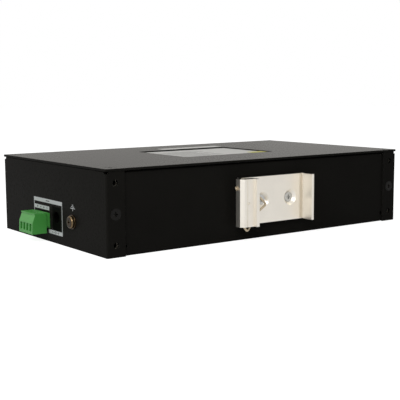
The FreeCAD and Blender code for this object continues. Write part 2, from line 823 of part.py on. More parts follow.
def din_clip():
    """The extruded clip: a flat base, a fixed hook at the right, and a slotted block at the left."""
    clip = body("din_clip")
    base = mm.clip_base_thickness
    groove_top = base + mm.rail_groove_width
    hook_inner = mm.clip_foot_right - mm.hook_thickness
    groove_end = hook_inner + mm.rail_groove_depth
    slot_top = base + mm.slot_height
    ridge = mm.block_inner + mm.ridge_thickness
    section = [
        (-mm.clip_foot_left, 0),
        (mm.clip_foot_right, 0),
        (mm.clip_foot_right, mm.hook_height - mm.hook_chamfer),
        (mm.clip_foot_right - mm.hook_chamfer, mm.hook_height),
        (hook_inner, mm.hook_height),
        (hook_inner, groove_top),
        (groove_end, groove_top),
        (groove_end, base),
        (-mm.clip_foot_left + mm.slot_foot_inset, base),
        (-mm.slot_end + mm.slot_mouth_inset, base + mm.hook_chamfer),
        (-mm.slot_end, slot_top),
        (-mm.block_inner, slot_top),
        (-mm.block_inner, mm.block_ridge_height),
        (-ridge + mm.ridge_draft, mm.block_ridge_height),
        (-ridge, mm.block_front),
        (-mm.block_outer + mm.block_shoulder, mm.block_front),
        (-mm.block_outer, mm.block_high),
        (-mm.block_outer, mm.block_low),
        (-mm.clip_foot_left, mm.block_foot_height),
    ]
    outline = [(x, behind(height)) for x, height in section]
    prism(clip, "extrusion", "XY", outline, clip_bottom, clip_top)
    rounded = [0, 1, 2, 3, 4, 11, 12, 15, 16, 17]
    fillet(clip, "corner_rounding", mm.clip_corner_radius, [(*outline[index], None) for index in rounded])
    score = around(-mm.score_x, mm.score_width)
    score_y = (behind(mm.block_front), behind(mm.block_front - mm.score_depth))
    box(clip, "score_line", score, score_y, (clip_bottom, clip_top), cut=True)
    dimple = (-mm.dimple_x, behind(mm.block_front), mid_height)
    rod(clip, "dimple", dimple, FRONT, mm.dimple_radius, mm.dimple_depth, cut=True)
    start = (-mm.block_outer, behind(mm.wire_height), wire_hole_height)
    rod(clip, "wire_hole", start, RIGHT, mm.wire_hole_radius, mm.block_outer - mm.clip_foot_left, cut=True)
    for number, x in enumerate((clip_screw_left, mm.clip_screw_right), start=1):
        start = (x, behind(base), mid_height)
        rod(clip, f"screw_hole_{number}", start, FRONT, mm.clip_bore_radius, base, cut=True)
        depth = mm.clip_sink_radius - mm.clip_bore_radius
        sink(clip, f"screw_sink_{number}", start, FRONT, mm.clip_sink_radius, depth)
    return clip


def clip_fasteners():
    """Two countersunk screws that hold the clip, and their nuts inside the back wall."""
    screws = []
    nuts = []
    rim_depth = mm.clip_sink_radius - mm.clip_head_radius - mm.head_clearance
    head_height = mm.clip_base_thickness - rim_depth + mm.head_rim
    for number, x in enumerate((clip_screw_left, mm.clip_screw_right), start=1):
        spot = (x, behind(head_height), mid_height)
        screws.append(countersunk_screw(f"clip_screw_{number}", mm.clip_head_radius, spot, REAR))
        nuts.append(sheet_nut(f"clip_nut_{number}", (x, -wall_inside, mid_height), REAR))
    return [group("clip_screws", screws), group("clip_nuts", nuts)]


def bent_wire(points, radius):
    """Straight runs through the points, joined at each inner point by a tangent arc."""
    edges = []
    start = points[0]
    for before, corner, after in zip(points, points[1:], points[2:]):
        incoming = (before - corner).normalize()
        outgoing = (after - corner).normalize()
        half_angle = incoming.getAngle(outgoing) / 2
        setback = radius / math.tan(half_angle)
        middle = (incoming + outgoing).normalize()
        first = corner + incoming * setback
        last = corner + outgoing * setback
        crest = corner + middle * (radius / math.sin(half_angle) - radius)
        edges.append(Part.LineSegment(start, first).toShape())
        edges.append(Part.Arc(first, crest, last).toShape())
        start = last
    edges.append(Part.LineSegment(start, points[-1]).toShape())
    return Part.Wire(edges)


def clip_spring():
    """The wire that holds the rail: hooked through the block, a V over the base, and a lower loop."""
    lead_x = -mm.block_outer - mm.wire_stand_off
    hole_z = wire_hole_height
    plane = mm.wire_height
    inner = mm.block_inner
    route = [
        (lead_x, hole_z - mm.wire_hook_drop, plane + mm.wire_hook_rise),
        (lead_x, hole_z, plane),
        (-mm.wire_knee_x, hole_z, plane),
        (-mm.wire_tip_x, clip_bottom + mm.wire_tip_rise, plane),
        (-inner - mm.wire_rest_inset, clip_bottom + mm.wire_rest_rise, plane),
        (-inner - mm.wire_drop_inset, clip_bottom - mm.wire_drop_fall, plane),
        (-inner - mm.wire_loop_inset, clip_bottom - mm.wire_loop_fall, plane),
        (-inner - mm.wire_return_inset, clip_bottom, plane),
        (-inner - mm.wire_return_inset, clip_bottom + mm.wire_end_rise, plane),
    ]
    points = []
    for x, z, height in route:
        place = (as_size(x).number, as_size(behind(height)).number, as_size(z).number)
        points.append(FreeCAD.Vector(*place))
    path = doc.addObject("Part::Feature", "spring_path")
    path.Shape = bent_wire(points, mm.wire_bend_radius.number)
    section = doc.addObject("Part::Circle", "spring_section")
    bind(section, "Radius", mm.wire_radius)
    run = points[1] - points[0]
    section.Placement = FreeCAD.Placement(points[0], FreeCAD.Rotation(FreeCAD.Vector(*UP), run))
    spring = doc.addObject("Part::Sweep", "clip_spring")
    spring.Sections = [section]
    spring.Spine = (path, [f"Edge{number}" for number in range(1, len(path.Shape.Edges) + 1)])
    spring.Solid = True
    return spring


# --- board ------------------------------------------------------------------------------------


def standoff_spots():
    spots = [(side * mm.standoff_x, y) for side in (-1, 1) for y in (-mm.standoff_back, mm.standoff_front)]
    return spots + [(mm.standoff_mid_x, -mm.standoff_back), (mm.standoff_mid_x, mm.standoff_mid_front)]


def main_board():
    board = body("main_board")
    outline = rectangle((-board_end, board_end), (-mm.board_back, mm.board_front))
    prism(board, "laminate", "XY", outline, board_bottom, board_top)
    for number, (x, y) in enumerate(standoff_spots(), start=1):
        start = (x, y, board_bottom)
        radius = mm.thread_radius + mm.cut_out_gap
        rod(board, f"screw_hole_{number}", start, UP, radius, mm.board_thickness, cut=True)
    first_pole = mm.plug_y - (POLES - 1) * mm.pole_pitch / 2
    hole_x = outward(-header_back - mm.pin_offset - mm.pin_size / 2)
    start = (hole_x, first_pole, board_bottom)
    hole = rod(board, "pin_hole", start, UP, mm.pin_hole_radius, mm.board_thickness, cut=True)
    repeat(board, "pin_holes", [hole], "Y", mm.pole_pitch, POLES)
    return board


def board_hardware():
    """Pressed standoffs in the tray's bottom, and the pan head screws that hold the board on them."""
    standoffs = []
    screws = []
    bore = mm.thread_radius + mm.thread_clearance
    head = mm.board_screw_head_height
    shank = [
        (0, head),
        (mm.board_screw_head_radius - head / 3, head),
        (mm.board_screw_head_radius, head / 2),
        (mm.board_screw_head_radius, 0),
        (mm.thread_radius, 0),
        (mm.thread_radius, head / 2 - mm.screw_length),
        (0, head / 2 - mm.screw_length),
    ]
    for number, (x, y) in enumerate(standoff_spots(), start=1):
        standoff = body(f"standoff_{number}")
        prism(standoff, "pillar", "XY", hexagon(mm.standoff_radius), 0, mm.standoff_height)
        rod(standoff, "thread", (0, 0, 0), UP, bore, mm.standoff_height, cut=True)
        standoffs.append(stand(standoff, (x, y, mm.sheet_thickness), UP))
        screw = body(f"board_screw_{number}")
        turning(screw, "pan_head", shank)
        screws.append(stand(screw, (x, y, board_top), UP))
    return [group("board_standoffs", standoffs), group("board_screws", screws)]


def chip(name, x, y, length, width, height, base=board_top):
    """A plain moulded component that stands on the board."""
    part = body(name)
    prism(part, "package", "XY", rectangle(around(x, length), around(y, width)), base, base + height)
    return part


def can(name, x, y, radius, height):
    """A round component that stands on the board: a coil or a capacitor."""
    part = body(name)
    turning(part, "can", [(0, 0), (radius, 0), (radius, height), (0, height)])
    return stand(part, (x, y, board_top), UP)


def on_grid(steps):
    """Lengths given in steps of the board's component grid."""
    return [step * mm.component_grid for step in steps]


def one(name, maker, spot, *sizes):
    """A component on the board, placed and sized in steps of the grid."""
    return maker(name, *on_grid(spot), *on_grid(sizes))


def many(name, maker, spots, *sizes):
    """Like components on the board, one at each spot."""
    numbered = enumerate(spots, start=1)
    return group(name, [one(f"{name}_{number}", maker, spot, *sizes) for number, spot in numbered])


def board_parts():
    """What the board carries behind the sockets: data side in the middle, power side at the left."""
    crystals = many("clock_crystals", chip, [(-24, -14), (-24, -24)], 11.4, 4.7, 3.5)
    magnetics = many("port_transformers", chip, [(-54, 26), (-25, 26), (12, 26), (38, 26)], 22, 9, 5.6)
    drivers = many("port_driver_chips", chip, [(-40, 8), (26, 8)], 14, 14, 1.2)
    memory = many("memory_chips", chip, [(36, -16), (36, -28)], 8, 6, 1.4)
    coils = many("power_coils", chip, [(-72, 4), (-72, -14)], 12, 12, 7)
    capacitors = many("power_capacitors", can, [(-80, 36), (-62, -30), (-48, -30)], 5, 12.5)
    diodes = many("input_diodes", chip, [(-86, -30), (-86, -38), (-76, -34)], 6, 4, 2.3)
    fuse = one("input_fuse", chip, (-84, 22), 6.1, 2.6, 2.6)
    controller = one("power_controller", chip, (-56, -8), 5, 6, 1.5)
    return [crystals, magnetics, drivers, memory, coils, capacitors, diodes, fuse, controller]


def switch_chip():
    return chip("switch_chip", mm.chip_x, mm.chip_y, mm.chip_size, mm.chip_size, mm.chip_height)


def heatsink():
    """A finned block on the switch chip: the gaps between its fins are cut in a row."""
    sink_body = body("heatsink")
    base = board_top + mm.chip_height
    square = rectangle(around(mm.chip_x, mm.sink_size), around(mm.chip_y, mm.sink_size))
    prism(sink_body, "block", "XY", square, base, base + mm.sink_height)
    first = mm.chip_x - (FINS - 1) * mm.fin_pitch / 2 + mm.fin_thickness / 2
    gap = (first, first + mm.fin_pitch - mm.fin_thickness)
    along = around(mm.chip_y, mm.sink_size)
    cut = box(sink_body, "fin_gap", gap, along, (base + mm.sink_base, base + mm.sink_height), cut=True)
    repeat(sink_body, "fin_gaps", [cut], "X", mm.fin_pitch, FINS - 1)
    return sink_body


# --- front ports ------------------------------------------------------------------------------


def port_x(centre, number):
    """X of a port of the block at a centre, counted from 0."""
    return centre + (number - (PORTS_PER_BLOCK - 1) / 2) * mm.port_pitch


def socket_block(name, centre):
    """Four network sockets moulded side by side, each with its latch notch and two lamp windows."""
    block = body(name)
    back = front_line - mm.socket_block_depth
    top = board_top + mm.socket_block_height
    prism(block, "moulding", "XZ", rectangle(around(centre, block_width), (board_top, top)), back, front_line)
    latch_bottom = socket_bottom - mm.latch_depth
    lamp_up = around((socket_top + top) / 2, mm.lamp_window_height)
    lamp_in = (front_line - mm.lamp_window_depth, front_line)
    for number in range(PORTS_PER_BLOCK):
        port = port_x(centre, number)
        mouth = [
            (port - mm.socket_width / 2, socket_bottom),
            (port - mm.latch_width / 2, socket_bottom),
            (port - mm.latch_width / 2, latch_bottom),
            (port + mm.latch_width / 2, latch_bottom),
            (port + mm.latch_width / 2, socket_bottom),
            (port + mm.socket_width / 2, socket_bottom),
            (port + mm.socket_width / 2, socket_top),
            (port - mm.socket_width / 2, socket_top),
        ]
        prism(block, f"socket_{number}", "XZ", mouth, socket_back, front_line, cut=True)
        for side in (-1, 1):
            lamp = around(port + side * (mm.socket_width - mm.lamp_window_width) / 2, mm.lamp_window_width)
            box(block, f"lamp_window_{number}_{side + 2}", lamp, lamp_in, lamp_up, cut=True)
    return block


def socket_contacts(name, centre):
    """Eight sprung contacts in the roof of each socket, sloping down towards its mouth."""
    contacts = body(name)
    tip = socket_back + mm.contact_length
    root_top = socket_top - mm.contact_roof_gap
    root = root_top - mm.contact_thickness
    side_view = [
        (socket_back, root),
        (tip, root - mm.contact_drop),
        (tip, root_top - mm.contact_drop),
        (socket_back, root_top),
    ]
    for number in range(PORTS_PER_BLOCK):
        first = port_x(centre, number) - (CONTACTS_PER_PORT - 1) * mm.contact_pitch / 2
        blade = prism(contacts, f"blade_{number}", "YZ", side_view, *around(first, mm.contact_width))
        repeat(contacts, f"row_{number}", [blade], "X", mm.contact_pitch, CONTACTS_PER_PORT)
    return contacts


def module_cage(name, centre):
    """A sheet metal cage for a fibre module, open at the front wall."""
    cage = body(name)
    back = front_line - mm.cage_length
    top = board_top + mm.cage_height
    outer = rectangle(around(centre, mm.cage_width), (board_top, top))
    prism(cage, "shell", "XZ", outer, back, front_line)
    wall = mm.cage_wall
    inner = rectangle(around(centre, mm.cage_width - 2 * wall), (board_top + wall, top - wall))
    prism(cage, "hollow", "XZ", inner, back + wall, front_line, cut=True)
    return cage


def module_connectors():
    connectors = []
    back = front_line - mm.cage_length + mm.cage_wall
    floor = board_top + mm.cage_wall
    for number, centre in enumerate((mm.inner_cage_x, mm.outer_cage_x), start=1):
        connector = body(f"module_connector_{number}")
        face = rectangle(
            around(centre, mm.module_connector_width), (floor, floor + mm.module_connector_height)
        )
        prism(connector, "housing", "XZ", face, back, back + mm.module_connector_length)
        slot_height = floor + mm.module_connector_height / 2
        across = around(centre, mm.module_connector_width - 2 * mm.card_slot_margin)
        slot = rectangle(across, around(slot_height, mm.card_slot_height))
        mouth = back + mm.module_connector_length
        prism(connector, "card_slot", "XZ", slot, back + mm.card_slot_wall, mouth, cut=True)
        connectors.append(connector)
    return group("module_connectors", connectors)


def status_lights():
    """Eight round light pipes on one clear block, and the lamps on the board behind it."""
    pipes = body("light_pipes")
    across = around(mm.pipe_block_x, mm.pipe_block_length)
    block_front = wall_inside - mm.wall_clearance
    block_back = block_front - mm.pipe_block_depth
    up = (board_top, board_top + mm.pipe_block_height)
    box(pipes, "block", across, (block_back, block_front), up)
    lamps = []
    for row in range(2):
        for column in range(4):
            x = mm.pipe_block_x + (column - 1.5) * mm.pipe_pitch
            height = board_top + mm.pipe_base_height + row * mm.pipe_row_height
            start = (x, block_front, height)
            length = front_line - block_front
            rod(pipes, f"pipe_{row}_{column}", start, FRONT, mm.pipe_radius, length)
            y = block_back - mm.lamp_size / 2 - row * (mm.lamp_size + mm.lamp_gap)
            lamp = chip(f"status_lamp_{row}_{column}", x, y, mm.lamp_size, mm.lamp_size, mm.lamp_height)
            lamps.append(lamp)
    return [pipes, group("status_lamps", lamps)]


# --- power terminal ---------------------------------------------------------------------------


def pole_y(number):
    """Y of a pole, counted from 1."""
    return mm.plug_y + (number - (POLES + 1) / 2) * mm.pole_pitch


def power_header():
    """The socket half on the board: a moulded tray, open outward, with the pins in its floor."""
    header = body("power_header")
    outer = rectangle(around(mm.plug_y, header_width), (board_top, header_top))
    prism(header, "moulding", "YZ", outer, outward(mm.header_projection), outward(-header_back))
    inner = rectangle(
        around(mm.plug_y, header_cavity),
        (tongue_bottom - mm.tongue_clearance, tongue_top + mm.tongue_clearance),
    )
    floor_x = outward(-header_floor_face)
    prism(header, "cavity", "YZ", inner, outward(mm.header_projection), floor_x, cut=True)
    notch_up = (board_top, board_top + mm.header_lip_notch)
    notch_across = around(mm.plug_y, header_width)
    lip = (outward(mm.header_projection), -half_length)
    box(header, "lip_notch", lip, notch_across, notch_up, cut=True)
    hole_span = around(pole_y(1), mm.pin_size)
    through = (floor_x, outward(-header_back))
    hole = box(header, "pin_hole", through, hole_span, around(pin_height, mm.pin_size), cut=True)
    repeat(header, "pin_holes", [hole], "Y", mm.pole_pitch, POLES)
    return header


def header_pins():
    """Four bent square pins: level through the header's floor, then down through the board."""
    pins = body("header_pins")
    half = mm.pin_size / 2
    tip = outward(mm.pin_reach - header_floor_face)
    turn = outward(-header_back - mm.pin_offset)
    side_view = [
        (tip, pin_height - half),
        (turn, pin_height - half),
        (turn, board_bottom - mm.pin_size),
        (turn + mm.pin_size, board_bottom - mm.pin_size),
        (turn + mm.pin_size, pin_height + half),
        (tip, pin_height + half),
    ]
    pin = prism(pins, "pin", "XZ", side_view, *around(pole_y(1), mm.pin_size))
    repeat(pins, "row", [pin], "Y", mm.pole_pitch, POLES)
    return pins


def power_plug():
    """The plug half: a stepped moulding with a wire slot, a clamp chamber and a screw hole a pole."""
    plug = body("power_plug")
    face = mm.plug_reach
    shoulder = plug_bottom + mm.plug_shoulder_height
    brow = plug_top - mm.plug_brow_height
    side_view = [
        (outward(plug_back), plug_bottom),
        (outward(face), plug_bottom),
        (outward(face - mm.plug_shoulder_setback), shoulder),
        (outward(face - mm.plug_slope_setback), brow),
        (outward(face - mm.plug_brow_setback), brow),
        (outward(face - mm.plug_brow_setback), plug_top),
        (outward(plug_back), plug_top),
    ]
    prism(plug, "moulding", "XZ", side_view, *around(mm.plug_y, mm.plug_width))
    tongue_end = outward(plug_back - mm.tongue_length)
    tongue = rectangle(around(mm.plug_y, mm.tongue_width), (tongue_bottom, tongue_top))
    prism(plug, "tongue", "YZ", tongue, outward(plug_back), tongue_end)
    y = pole_y(1)
    centre_x = outward(mm.clamp_centre)
    slot_bottom = plug_bottom + mm.wire_slot_lift
    slot_up = (slot_bottom, slot_bottom + mm.wire_slot_height)
    slot_across = around(y, mm.wire_slot_width)
    strip_up = (strip_top() - mm.strip_thickness - mm.thread_clearance, strip_top() + mm.thread_clearance)
    tulip_up = around(pin_height, mm.tulip_size + 2 * mm.thread_clearance)
    tulip_across = around(y, mm.tulip_size + 2 * mm.thread_clearance)
    tulip_front = tongue_end - mm.tulip_length - mm.cut_out_gap
    ledge = chamber_top + mm.clamp_ledge
    neck = mm.clamp_screw_radius + mm.clamp_head_clearance
    cuts = [
        box(plug, "wire_slot", (outward(face), centre_x), slot_across, slot_up, cut=True),
        box(
            plug,
            "chamber",
            around(centre_x, mm.chamber_length),
            around(y, mm.chamber_width),
            (chamber_bottom, chamber_top),
            cut=True,
        ),
        box(plug, "strip_slot", (centre_x, tulip_front), around(y, mm.strip_width), strip_up, cut=True),
        box(plug, "tulip_hole", (tulip_front, tongue_end), tulip_across, tulip_up, cut=True),
        rod(plug, "screw_neck", (centre_x, y, chamber_top), UP, neck, mm.clamp_ledge, cut=True),
        rod(
            plug,
            "screw_well",
            (centre_x, y, ledge),
            UP,
            mm.clamp_head_radius + mm.clamp_head_clearance,
            plug_top - ledge,
            cut=True,
        ),
    ]
    repeat(plug, "poles", cuts, "Y", mm.pole_pitch, POLES)
    return plug


def strip_top():
    """Height of the contact strip's upper face, just under the clamp screw's point."""
    return pin_height


def plug_contacts():
    """Four contacts: a strip through the clamp cage, and a square tulip round the header's pin."""
    contacts = body("plug_contacts")
    y = pole_y(1)
    tongue_end = outward(plug_back - mm.tongue_length)
    tulip_front = tongue_end - mm.tulip_length
    strip_start = outward(mm.clamp_centre + mm.clamp_cage_length / 2)
    strip_up = (strip_top() - mm.strip_thickness, strip_top())
    tulip_end = tongue_end - mm.cut_out_gap
    bore = mm.tulip_size - 2 * mm.tulip_wall
    strip_span = (strip_start, tulip_front + mm.tulip_wall)
    strip = box(contacts, "strip", strip_span, around(y, mm.strip_width), strip_up)
    across = around(y, mm.tulip_size)
    tulip = box(contacts, "tulip", (tulip_front, tulip_end), across, around(pin_height, mm.tulip_size))
    bore_up = around(pin_height, bore)
    inside = (tulip_front + mm.tulip_wall, tulip_end)
    hole = box(contacts, "tulip_bore", inside, around(y, bore), bore_up, cut=True)
    repeat(contacts, "poles", [strip, tulip, hole], "Y", mm.pole_pitch, POLES)
    return contacts


def clamp_screw(number):
    """A slotted screw in the plug's top. Its point stands on the contact strip."""
    screw = body(f"clamp_screw_{number}")
    length = plug_top - mm.clamp_head_sink - strip_top() - mm.thread_clearance
    radius = mm.clamp_screw_radius
    profile = [
        (0, 0),
        (mm.clamp_head_radius, 0),
        (mm.clamp_head_radius, -mm.clamp_head_height),
        (radius, -mm.clamp_head_height),
        (radius, -length),
        (0, -length),
    ]
    turning(screw, "blank", profile)
    reach = (-mm.clamp_head_radius, mm.clamp_head_radius)
    depth = (-mm.driver_slot_depth, 0)
    box(screw, "driver_slot", reach, around(0, mm.driver_slot_width), depth, cut=True)
    spot = (outward(mm.clamp_centre), pole_y(number), plug_top - mm.clamp_head_sink)
    return stand(screw, spot, UP)


def clamp_cage(number):
    """A square metal frame that the screw draws up, so that it grips the wire against the strip."""
    cage = body(f"clamp_cage_{number}")
    across = around(0, mm.clamp_cage_length)
    width = around(0, mm.clamp_cage_width)
    box(cage, "frame", across, width, (0, mm.clamp_cage_height))
    window = around(0, mm.clamp_cage_width - 2 * mm.clamp_cage_side)
    window_up = (mm.clamp_cage_floor, mm.clamp_cage_height - mm.clamp_cage_top)
    box(cage, "window", across, window, window_up, cut=True)
    start = (0, 0, mm.clamp_cage_height - mm.clamp_cage_top)
    bore = mm.clamp_screw_radius + mm.clamp_screw_clearance
    rod(cage, "thread", start, UP, bore, mm.clamp_cage_top, cut=True)
    spot = (outward(mm.clamp_centre), pole_y(number), chamber_bottom + mm.clamp_cage_gap)
    return stand(cage, spot, UP)


# --- jack and ground terminal -----------------------------------------------------------------


def power_jack():
    """A barrel jack on the board: a moulded block with a round mouth and a centre pin."""
    jack = body("power_jack")
    front = -half_length
    outline = rectangle(around(mm.jack_y, mm.jack_width), (board_top, board_top + mm.jack_height))
    prism(jack, "moulding", "YZ", outline, front, front + mm.jack_length)
    mouth = (front, mm.jack_y, jack_centre_height)
    rod(jack, "mouth", mouth, RIGHT, mm.jack_hole_radius, mm.jack_hole_depth, cut=True)
    pin = body("jack_pin")
    start = (front + mm.jack_hole_depth, mm.jack_y, jack_centre_height)
    length = mm.jack_hole_depth - mm.jack_pin_setback
    rod(pin, "pin", start, LEFT, mm.jack_pin_radius, length)
    return [jack, pin]


def ground_terminal():
    """The ground screw on the end cap, its washer, and the nut inside."""
    thread = mm.ground_thread_radius
    washer = body("ground_washer")
    bore = thread + mm.cut_out_gap
    thick = mm.washer_thickness
    turning(washer, "ring", [(bore, 0), (mm.washer_radius, 0), (mm.washer_radius, thick), (bore, thick)])
    stand(washer, (-half_length, mm.ground_y, mm.ground_height), LEFT)
    screw = body("ground_screw")
    head = mm.ground_head_height
    reach = mm.ground_screw_length
    profile = [(0, 0), (mm.ground_head_radius, 0), (mm.ground_head_radius, -head)]
    profile += [(thread, -head), (thread, -head - reach), (0, -head - reach)]
    turning(screw, "blank", profile)
    fillet(screw, "head_rounding", mm.ground_head_rounding, [(0, 0, 0)])
    cross_recess(screw)
    stand(screw, (outward(thick + head), mm.ground_y, mm.ground_height), LEFT)
    inside = (-cap_inside, mm.ground_y, mm.ground_height)
    holder = nut("ground_nut", inside, LEFT, mm.ground_nut_radius, mm.ground_nut_thickness, thread)
    return [washer, screw, holder]


# --- the whole --------------------------------------------------------------------------------

parts = [
    chassis_tray(),
    left_end_cap(),
    end_cap("right_end_cap", 1),
    cover_plate(),
    *labels(),
    *cover_fasteners(),
    *wall_fasteners(),
    din_clip(),
    clip_spring(),
    *clip_fasteners(),
    main_board(),
    *board_hardware(),
    *board_parts(),
    switch_chip(),
    heatsink(),
    socket_block("left_socket_block", mm.left_block_x),
    socket_block("right_socket_block", mm.right_block_x),
    socket_contacts("left_socket_contacts", mm.left_block_x),
    socket_contacts("right_socket_contacts", mm.right_block_x),
    module_cage("inner_module_cage", mm.inner_cage_x),
    module_cage("outer_module_cage", mm.outer_cage_x),
    module_connectors(),
    *status_lights(),
    power_header(),
    header_pins(),
    power_plug(),
    plug_contacts(),
    *[clamp_screw(number) for number in range(1, POLES + 1)],
    *[clamp_cage(number) for number in range(1, POLES + 1)],
    *power_jack(),
    *ground_terminal(),
]
doc.recompute()

for item in doc.Objects:
    if "Invalid" in item.State or "Error" in item.State:
        raise RuntimeError(f"{item.Label} failed: {item.State}")
    base = getattr(item, "BaseFeature", None)
    cuts_away = item.TypeId.startswith("PartDesign::Subtractive") or item.TypeId == "PartDesign::Pocket"
    if cuts_away and not item.Shape.Volume < base.Shape.Volume:
        raise RuntimeError(f"{item.Label} cuts nothing")
for part in parts:
    if part.Shape.isNull() or not part.Shape.isValid():
        raise RuntimeError(f"{part.Label} has no valid shape")

os.makedirs("parts", exist_ok=True)
for part in parts:
    part.Shape.exportStep(f"parts/{part.Label}.step")
print(f"{len(parts)} sub-parts written")
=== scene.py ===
"""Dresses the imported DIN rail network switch: its finishes, its printed marks and a plain studio.

The housing is folded steel under a fine black powder coat. The rail clip is bead-blasted
aluminium, the terminal plug is green, and the ground screw is brass. Every length is in metres
unless its name ends in _mm.
"""

import json
import math

import bmesh
import bpy
from mathutils import Matrix, Vector


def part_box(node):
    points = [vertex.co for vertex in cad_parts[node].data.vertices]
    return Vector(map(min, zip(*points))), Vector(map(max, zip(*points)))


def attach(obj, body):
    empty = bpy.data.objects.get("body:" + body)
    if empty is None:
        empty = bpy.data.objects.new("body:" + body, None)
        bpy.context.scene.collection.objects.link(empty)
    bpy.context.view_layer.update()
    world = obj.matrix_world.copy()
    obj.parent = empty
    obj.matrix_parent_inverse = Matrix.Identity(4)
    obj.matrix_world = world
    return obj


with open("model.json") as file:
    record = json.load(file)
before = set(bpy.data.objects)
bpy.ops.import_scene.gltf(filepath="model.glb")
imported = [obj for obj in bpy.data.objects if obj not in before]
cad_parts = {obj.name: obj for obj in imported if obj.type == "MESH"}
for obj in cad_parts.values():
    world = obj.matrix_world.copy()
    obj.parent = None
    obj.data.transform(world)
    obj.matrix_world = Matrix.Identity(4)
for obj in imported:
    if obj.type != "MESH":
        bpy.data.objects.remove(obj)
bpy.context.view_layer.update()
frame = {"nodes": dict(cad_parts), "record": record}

bl_info = {
    "name": "Network switch dressing",
    "version": (1, 0, 0),
    "blender": (4, 5, 0),
    "location": "3D View > Sidebar > Switch",
    "description": "Finishes, printed marks and a studio for a DIN rail network switch",
    "category": "Object",
}

MM = 0.001
WHITE = (1.0, 1.0, 1.0)
WARM = (1.0, 0.975, 0.93)
POLES = 4
EARTH_BARS = (1.0, 0.64, 0.28)


# ---------------------------------------------------------------------------
# Shader nodes
# ---------------------------------------------------------------------------


class Socket:
    """An output of a shader node. Python's operators on it add the Math nodes they need."""

    def __init__(self, tree, output):
        self.tree = tree
        self.output = output

    def __add__(self, other):
        return self.tree.maths("ADD", self, other)

    def __sub__(self, other):
        return self.tree.maths("SUBTRACT", self, other)

    def __rsub__(self, other):
        return self.tree.maths("SUBTRACT", other, self)

    def __mul__(self, other):
        return self.tree.maths("MULTIPLY", self, other)

    __radd__ = __add__
    __rmul__ = __mul__


class NodeTree:
    """A node tree that is filled by one call for each node."""

    def __init__(self, tree):
        self.tree = tree
        self.tree.nodes.clear()

    def add(self, kind, settings, inputs):
        """Adds a node and returns it: its settings first, then its sockets, by identifier."""
        node = self.tree.nodes.new("ShaderNode" + kind)
        for name, value in settings.items():
            setattr(node, name, value)
        sockets = {socket.identifier: socket for socket in node.inputs}
        for name, value in inputs.items():
            self.feed(sockets[name], value)
        return node

    def feed(self, socket, value):
        """Links a value that varies to a socket, or writes one that doesn't into it."""
        if isinstance(value, Socket):
            self.tree.links.new(value.output, socket)
        elif hasattr(value, "__len__") and len(value) == 3 and socket.type == "RGBA":
            socket.default_value = (*value, 1.0)
        else:
            socket.default_value = value

    def take(self, kind, output, settings=None, inputs=None):
        """Adds a node and returns one of its outputs."""
        node = self.add(kind, settings or {}, inputs or {})
        found = next(socket for socket in node.outputs if socket.identifier == output)
        return Socket(self, found)

    def maths(self, operation, first, second):
        """A Math node of two values."""
        values = {"Value": first, "Value_001": second}
        return self.take("Math", "Value", {"operation": operation}, values)

    def vector(self, operation, output, **inputs):
        """A Vector Math node."""
        return self.take("VectorMath", output, {"operation": operation}, inputs)

    def blend(self, first, second, factor):
        """A colour between two others."""
        settings = {"data_type": "RGBA"}
        inputs = {"A_Color": first, "B_Color": second, "Factor_Float": factor}
        return self.take("Mix", "Result_Color", settings, inputs)

    def band(self, value, low, high):
        """0 below low, 1 above high, and a smooth rise between them."""
        settings = {"interpolation_type": "SMOOTHSTEP"}
        inputs = {"Value": value, "From Min": low, "From Max": high}
        return self.take("MapRange", "Result", settings, inputs)

    def part_of(self, vector, axis):
        """One of a vector's three parts."""
        return self.take("SeparateXYZ", axis, {}, {"Vector": vector})


